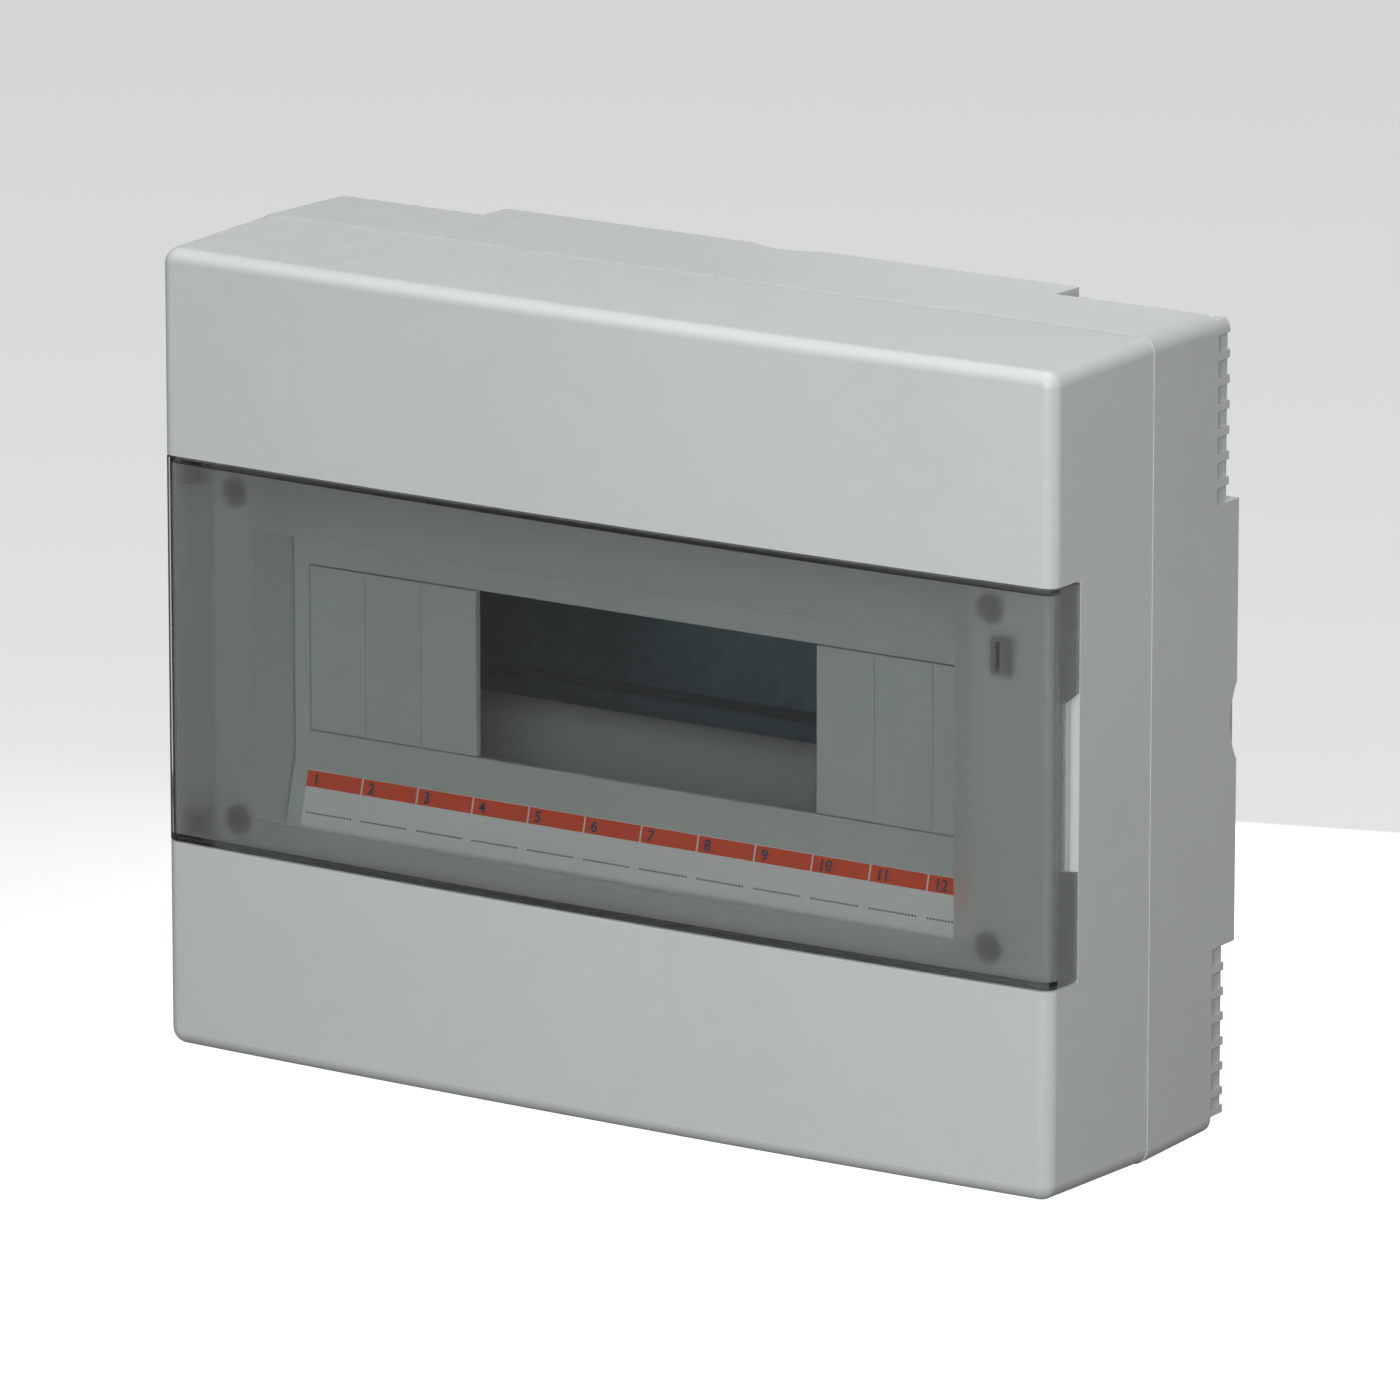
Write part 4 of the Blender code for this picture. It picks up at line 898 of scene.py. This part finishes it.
class BREAKER_OT_label(bpy.types.Operator):
    """Make the label card, its coloured cells, numbers and writing line"""

    bl_idname = "breaker.label"
    bl_label = "Label"
    bl_options = {"REGISTER", "UNDO"}

    def execute(self, context):
        p = context.scene.breaker_panel
        f = context.scene.breaker_finish
        start = -p.slope_top - p.label_start
        end = start - p.label_length
        half = MODULES / 2 * p.pitch
        lift = LABEL_HIGH.y - LABEL_LOW.y - (slope_y(start) - slope_y(end))
        outline = []
        for z, raised in ((start, GAP), (start, lift), (end, lift), (end, GAP)):
            outline.append((slope_y(z) - raised, z))
        card = printed("Coated label card", f.card, 0.5, 0.0006)
        piece = new_piece("label_card", extruded(outline, half), card)
        place_piece(piece, "box", "label", "label_strip")
        self.down = Vector((0, slope_y(end) - slope_y(start), end - start)).normalized()
        self.out = Vector((0, self.down.z, -self.down.y))
        self.corner = Vector((-half, slope_y(start) - lift, start))
        self.print_cells(p, f)
        self.print_numbers(p, f)
        self.print_dots(p, f)
        return {"FINISHED"}

    def place(self, across, down, lift):
        """A point on the card, in metres across from its left end and down from its top."""
        return self.corner + Vector((across, 0, 0)) + self.down * down + self.out * lift

    def add_print(self, bm, across, down, height):
        """A flat print between two distances across and two distances down the card."""
        verts = add_box(bm, (0, 1), (0, 1), (0, 1))
        for vert in verts:
            x = across[1] if vert.co.x > 0.5 else across[0]
            z = down[1] if vert.co.y > 0.5 else down[0]
            lift = height if vert.co.z > 0.5 else -height
            vert.co = self.place(x, z, lift)

    def print_cells(self, p, f):
        bm = bmesh.new()
        for index in range(MODULES):
            left = index * p.pitch + (p.divider / 2 if index else 0)
            right = (index + 1) * p.pitch - (p.divider / 2 if index < MODULES - 1 else 0)
            self.add_print(bm, (left, right), (p.cell_margin, p.cell_margin + p.band_height), INK_LIFT)
        ink = printed("Orange printing ink", f.orange, 0.42, 0.0004)
        piece = new_piece("label_cells", bm, ink)
        place_piece(piece, "box", "label")

    def print_numbers(self, p, f):
        ink = printed("Blue printing ink", f.ink, 0.42, 0.0004)
        joined = bmesh.new()
        for index in range(MODULES):
            text = bpy.data.curves.new("number", "FONT")
            text.body = str(index + 1)
            text.size = p.number_height * 1.4
            text.align_x = "LEFT"
            text.offset = p.number_height * 0.035
            text.extrude = INK_LIFT
            holder = bpy.data.objects.new("number", text)
            bpy.context.scene.collection.objects.link(holder)
            bpy.context.view_layer.update()
            graph = bpy.context.evaluated_depsgraph_get()
            mesh = bpy.data.meshes.new_from_object(holder.evaluated_get(graph))
            across = index * p.pitch + p.number_start
            down = p.cell_margin + (p.band_height + p.number_height) / 2
            basis = Matrix((Vector((1, 0, 0)), -self.down, self.out)).transposed().to_4x4()
            mesh.transform(Matrix.Translation(self.place(across, down, INK_LIFT * 1.5)) @ basis)
            joined.from_mesh(mesh)
            bpy.data.objects.remove(holder, do_unlink=True)
            bpy.data.meshes.remove(mesh)
        bmesh.ops.remove_doubles(joined, verts=joined.verts, dist=HAIR)
        piece = new_piece("label_numbers", joined, ink)
        place_piece(piece, "box", "label")

    def print_dots(self, p, f):
        bm = bmesh.new()
        count = int((p.pitch - 2 * p.dot_margin) / p.dot_pitch)
        for index in range(MODULES):
            for dot in range(count):
                left = index * p.pitch + p.dot_margin + dot * p.dot_pitch
                down = (p.dot_drop, p.dot_drop + p.dot_size)
                self.add_print(bm, (left, left + p.dot_size), down, INK_LIFT)
        ink = printed("Grey printing ink", f.dots, 0.45, 0.0004)
        piece = new_piece("label_dots", bm, ink)
        place_piece(piece, "box", "label")


class BREAKER_OT_door(bpy.types.Operator):
    """Make the smoked door, with its frosted margin, finger notch, knuckles and catch tongue"""

    bl_idname = "breaker.door"
    bl_label = "Door"
    bl_options = {"REGISTER", "UNDO"}

    def execute(self, context):
        s = context.scene.breaker_shell
        d = context.scene.breaker_door
        high = DOOR_HIGH.z
        front_half = COVER_HIGH.x - s.front_draft
        share = (DOOR_HIGH.y - front_y()) / (parting_y() - front_y())
        back_half = front_half + s.front_draft * share
        bm = tapered_block((back_half, high), (front_half, high), DOOR_HIGH.y, front_y(), s.bow)
        bevel_edges(bm, lambda edge: on_front_rim(edge, front_y()) and is_upright(edge), d.front_radius, 10)
        piece = new_piece("door_sheet", bm, smoked_sheet())
        inner = (s.side_floor + GAP, high - d.rim)
        hollow = tapered_block(inner, inner, DOOR_HIGH.y + REACH, front_y() + d.thickness, s.bow)
        back = front_y() + d.thickness
        bevel_edges(hollow, lambda edge: on_front_rim(edge, back) and is_upright(edge), d.inner_radius, 4)
        past = high + REACH
        behind_rims = box_mesh((-inner[0], inner[0]), (-d.rim_back, DOOR_HIGH.y + 2 * REACH), (-past, past))
        steps = [("DIFFERENCE", shape) for shape in (behind_rims, hollow, self.grip(s, d, back_half))]
        steps += self.knuckles(s, d) + [("UNION", self.tongue(d))]
        carve(piece, steps)
        round_edges(piece, d.edge_radius, 3)
        self.frost(piece, s, d)
        weight_normals(piece)
        place_piece(piece, "door", "smoked_door", "door")
        return {"FINISHED"}

    def grip(self, s, d, back_half):
        """A notch with slanting ends in the rear edge of the right-hand wrap."""
        bm = box_mesh((s.side_floor - s.wall, back_half + REACH), (-d.grip_floor, DOOR_HIGH.y), (-1, 1))
        for vert in bm.verts:
            at_floor = vert.co.y < (DOOR_HIGH.y - d.grip_floor) / 2
            vert.co.z *= d.grip_inner if at_floor else d.grip_outer
            if not at_floor:
                vert.co.y += s.wall
        return bm

    def knuckles(self, s, d):
        hinge = (PIN_LOW + PIN_HIGH) / 2
        bore = (PIN_HIGH.x - PIN_LOW.x) / 2 + GAP
        x = (-s.side_floor - 2 * GAP, hinge.x + d.knuckle_half)
        y = (hinge.y - d.knuckle_half, hinge.y + d.knuckle_half)
        steps = []
        for side in (-1, 1):
            z = pair(side * d.knuckle_low, side * d.knuckle_high)
            steps.append(("UNION", box_mesh(x, y, z)))
            span = (z[0] - REACH / 2, z[1] + REACH / 2)
            steps.append(("DIFFERENCE", cylinders_mesh(2, [tuple(hinge)], span, bore, PIN_SIDES)))
        return steps

    def tongue(self, d):
        catch = (CATCH_LOW + CATCH_HIGH) / 2
        x = (catch.x - d.tongue_half, catch.x + d.tongue_half)
        z = (CATCH_LOW.z + d.tongue_inset, CATCH_HIGH.z - d.tongue_inset)
        return box_mesh(x, (front_y() + d.thickness / 4, -d.tongue), z)

    def frost(self, piece, s, d):
        """Frosts the rear of the sheet round its window; below the window the frosting comes on gradually."""
        bm = bmesh.new()
        bm.from_mesh(piece.data)
        frosted = bm.loops.layers.float.new(FROST)
        limit = front_y() + d.thickness + GAP
        edge = s.side_floor - d.thickness - GAP
        planes = (
            ((-d.window_half, 0, 0), (1, 0, 0)),
            ((d.window_half, 0, 0), (1, 0, 0)),
            ((0, 0, -d.window_bottom), (0, 0, 1)),
            ((0, 0, -d.window_bottom - d.fade), (0, 0, 1)),
            ((0, 0, d.window_top), (0, 0, 1)),
        )
        behind = [f for f in bm.faces if self.is_plate(f, limit, edge)]
        for point, normal in planes:
            parts = set(behind)
            for face in behind:
                parts.update(face.edges)
                parts.update(face.verts)
            bmesh.ops.bisect_plane(bm, geom=list(parts), plane_co=point, plane_no=normal)
            behind = [f for f in bm.faces if self.is_plate(f, limit, edge)]
        plate = set(behind)
        for face in bm.faces:
            centre = face.calc_center_median()
            above = face in plate and abs(centre.x) < d.window_half and centre.z < d.window_top
            inside = face in plate or self.is_etched(face, centre, s, d)
            for loop in face.loops:
                depth = (-loop.vert.co.z - d.window_bottom) / d.fade
                loop[frosted] = (min(max(depth, 0), 1) if above else 1) if inside else 0
        bm.to_mesh(piece.data)
        bm.free()

    def is_plate(self, face, limit, edge):
        """Whether a face is part of the plate's rear."""
        centre = face.calc_center_median()
        return face.normal.y > 0.9 and centre.y < limit and abs(centre.x) < edge

    def is_etched(self, face, centre, s, d):
        """Whether a face outside the plate is etched: the rims, the tongue and the wraps' inner faces."""
        behind_plate = centre.y > front_y() + d.thickness / 2
        inward = face.normal.x * centre.x < 0 and abs(face.normal.x) > 0.1
        on_side = inward and s.side_floor - 2 * d.thickness < abs(centre.x) < s.side_floor + 2 * GAP
        on_rim = abs(abs(centre.z) - DOOR_HIGH.z + d.rim) < GAP and centre.y < -d.rim_back
        low, high = CATCH_LOW, CATCH_HIGH
        on_tongue = low.x < centre.x < high.x and low.z < centre.z < high.z
        return behind_plate and (on_side or on_rim or on_tongue)


class BREAKER_OT_cover_screws(bpy.types.Operator):
    """Make the four slotted cover screws"""

    bl_idname = "breaker.cover_screws"
    bl_label = "Cover Screws"
    bl_options = {"REGISTER", "UNDO"}

    def execute(self, context):
        s = context.scene.breaker_shell
        steel = metal("Blackened steel, turned", context.scene.breaker_finish.dark, 0.38, TURNED)
        for name in SCREW_NAMES:
            low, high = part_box(name)
            centre = (low + high) / 2
            radius = (high.x - low.x) / 2
            head = (low.y, low.y + s.screw_head)
            place = tuple(centre)
            piece = new_piece(name + "_turned", cylinders_mesh(1, [place], head, radius), steel)
            shank = cylinders_mesh(1, [place], (head[0] + GAP, high.y), s.screw_shank, BORE_SIDES)
            across = (centre.x - radius * 2, centre.x + radius * 2)
            slot_z = (centre.z - s.screw_slot, centre.z + s.screw_slot)
            slot = box_mesh(across, (low.y - REACH, low.y + s.screw_slot_depth), slot_z)
            carve(piece, [("UNION", shank), ("DIFFERENCE", slot)])
            soften(piece, GAP, 3)
            place_piece(piece, name, "dark_steel", name)
        return {"FINISHED"}


class BREAKER_OT_rail(bpy.types.Operator):
    """Make the roll-formed rail, and give its brackets, screws and the hinge pins their finish"""

    bl_idname = "breaker.rail"
    bl_label = "Rail"
    bl_options = {"REGISTER", "UNDO"}

    def execute(self, context):
        p = context.scene.breaker_panel
        lips, back = RAIL_LOW.y, RAIL_HIGH.y
        edge, channel, sheet = RAIL_HIGH.z, p.rail_channel, p.rail_sheet
        upper = [(lips, edge), (lips, channel - sheet), (back - sheet, channel - sheet)]
        lower = [(y, -z) for y, z in reversed(upper)]
        outer = [
            (lips + sheet, -edge), (lips + sheet, -channel), (back, -channel),
            (back, channel), (lips + sheet, channel), (lips + sheet, edge),
        ]
        bm = extruded(upper + lower + outer, RAIL_HIGH.x)
        bmesh.ops.recalc_face_normals(bm, faces=bm.faces)
        inner = {(lips, channel - sheet), (back, channel)}
        self.bend(bm, inner, p.rail_bend)
        inner = {(back - sheet, channel - sheet), (lips + sheet, channel)}
        self.bend(bm, inner, p.rail_bend - sheet)
        piece = new_piece("din_rail_strip", bm, galvanised())
        piece.data.shade_smooth()
        piece.data.set_sharp_from_angle(angle=math.radians(35))
        place_piece(piece, "box", "galvanised_rail", "din_rail")
        finish_cad(("rail_bracket_left", "rail_bracket_right"), moulded_abs())
        f = context.scene.breaker_finish
        bright = metal("Zinc-plated steel, turned", f.bright, 0.3, TURNED)
        finish_cad(("rail_screw_left", "rail_screw_right", "hinge_pin_upper", "hinge_pin_lower"), bright)
        return {"FINISHED"}

    def bend(self, bm, corners, radius):
        """Rounds the long edges that pass through these (y, |z|) corners."""
        def wanted(edge):
            first, second = (vert.co for vert in edge.verts)
            if abs(first.x - second.x) < REACH:
                return False
            return any(abs(first.y - y) < GAP and abs(abs(first.z) - z) < GAP for y, z in corners)
        bevel_edges(bm, wanted, radius, 6)


class BREAKER_OT_small_fittings(bpy.types.Operator):
    """Finish the catch, terminals, holders and fixing caps"""

    bl_idname = "breaker.small_fittings"
    bl_label = "Small Fittings"
    bl_options = {"REGISTER", "UNDO"}

    def execute(self, context):
        f = context.scene.breaker_finish
        finish_cad(("door_catch",), plastic("Acetal, black", f.acetal, 0.4, 0.0004))
        bars = ("neutral_bar", "earth_bar")
        finish_cad(bars, metal("Extruded brass", f.brass, 0.32, (0.05, 1.0, 1.0)))
        screws = [f"{side}_screw_{number}" for side in ("neutral", "earth") for number in range(1, 7)]
        finish_cad(screws, metal("Zinc-plated steel, turned", f.bright, 0.3, TURNED))
        finish_cad(("neutral_holder",), plastic("Moulded nylon, blue", f.blue, 0.5, 0.0006))
        finish_cad(("earth_holder",), plastic("Moulded nylon, green", f.green, 0.5, 0.0006))
        finish_cad(FIXING_NAMES, moulded_abs())
        return {"FINISHED"}


class BREAKER_OT_stage(bpy.types.Operator):
    """Make the floor, the soft lights and the camera"""

    bl_idname = "breaker.stage"
    bl_label = "Stage"
    bl_options = {"REGISTER", "UNDO"}

    def execute(self, context):
        studio = context.scene.breaker_studio
        self.make_floor(studio)
        self.make_lights()
        self.make_camera(context.scene, studio)
        context.scene.view_settings.view_transform = "Standard"
        return {"FINISHED"}

    def make_floor(self, studio):
        bm = bmesh.new()
        bmesh.ops.create_grid(bm, x_segments=1, y_segments=1, size=30.0)
        level = CAD_BOX[0].z - studio.floor_drop
        bmesh.ops.translate(bm, vec=(0, 0, level), verts=bm.verts)
        made, tree, shader, place = new_material("Matt studio floor")
        shader.inputs["Base Color"].default_value = tuple(studio.floor)
        shader.inputs["Roughness"].default_value = 0.9
        shader.inputs["Emission Color"].default_value = tuple(studio.floor)
        shader.inputs["Emission Strength"].default_value = studio.floor_glow
        piece = new_piece("floor", bm, made)
        piece.visible_diffuse = False
        piece.visible_glossy = False

    def make_lights(self):
        world = bpy.data.worlds.new("Soft studio")
        bpy.context.scene.world = world
        world.use_nodes = True
        background = world.node_tree.nodes["Background"]
        background.inputs["Color"].default_value = hex_colour("#FBFCFF")
        background.inputs["Strength"].default_value = 0.15
        self.add_light("key", (-0.70, -0.90, 1.10), 0.5, 2.8)
        self.add_light("front", (0.60, -1.30, 0.45), 0.5, 15.2)
        self.add_light("overhead", (0.0, -0.1, 1.5), 1.0, 14.5)
        self.add_light("side", (1.3, 0.25, 0.2), 0.8, 2.4)
        self.add_light("back", (-0.5, 1.5, -0.05), 0.8, 6.0)

    def add_light(self, name, place, size, power):
        lamp = bpy.data.lights.new(name, "AREA")
        lamp.shape = "SQUARE"
        lamp.size = size
        lamp.energy = power
        made = bpy.data.objects.new(name, lamp)
        bpy.context.scene.collection.objects.link(made)
        made.location = place
        made.rotation_mode = "QUATERNION"
        centre = (CAD_BOX[0] + CAD_BOX[1]) / 2
        made.rotation_quaternion = (centre - made.location).to_track_quat("-Z", "Y")

    def make_camera(self, scene, studio):
        camera = bpy.data.cameras.new("camera")
        camera.lens = studio.lens
        camera.sensor_width = 36.0
        camera.clip_end = 100.0
        made = bpy.data.objects.new("camera", camera)
        scene.collection.objects.link(made)
        azimuth = math.radians(studio.azimuth)
        elevation = math.radians(studio.elevation)
        level = math.cos(elevation)
        back = Vector((math.sin(azimuth) * level, -math.cos(azimuth) * level, math.sin(elevation)))
        made.location = Vector(studio.aim) + back * studio.distance
        made.rotation_mode = "QUATERNION"
        made.rotation_quaternion = (-back).to_track_quat("-Z", "Y")
        scene.camera = made


class BREAKER_PT_panel(bpy.types.Panel):
    """Sidebar panel that lists the piece makers"""

    bl_idname = "BREAKER_PT_panel"
    bl_label = "Breaker Box"
    bl_space_type = "VIEW_3D"
    bl_region_type = "UI"
    bl_category = "Breaker Box"

    def draw(self, context):
        for operator in OPERATORS:
            self.layout.operator(operator.bl_idname)


GROUPS = {
    "breaker_shell": ShellSizes,
    "breaker_door": DoorSizes,
    "breaker_panel": PanelSizes,
    "breaker_finish": Finishes,
    "breaker_studio": Studio,
}
OPERATORS = (
    BREAKER_OT_back_box,
    BREAKER_OT_front_cover,
    BREAKER_OT_panel,
    BREAKER_OT_label,
    BREAKER_OT_door,
    BREAKER_OT_cover_screws,
    BREAKER_OT_rail,
    BREAKER_OT_small_fittings,
    BREAKER_OT_stage,
)


def register():
    for group in GROUPS.values():
        bpy.utils.register_class(group)
    for name, group in GROUPS.items():
        setattr(bpy.types.Scene, name, bpy.props.PointerProperty(type=group))
    for made in (*OPERATORS, BREAKER_PT_panel):
        bpy.utils.register_class(made)


def unregister():
    for made in (BREAKER_PT_panel, *reversed(OPERATORS)):
        bpy.utils.unregister_class(made)
    for name in GROUPS:
        delattr(bpy.types.Scene, name)
    for group in reversed(GROUPS.values()):
        bpy.utils.unregister_class(group)


def main():
    register()
    bpy.ops.breaker.back_box()
    bpy.ops.breaker.front_cover()
    bpy.ops.breaker.panel()
    bpy.ops.breaker.label()
    bpy.ops.breaker.door()
    bpy.ops.breaker.cover_screws()
    bpy.ops.breaker.rail()
    bpy.ops.breaker.small_fittings()
    bpy.ops.breaker.stage()


if __name__ == "__main__":
    main()
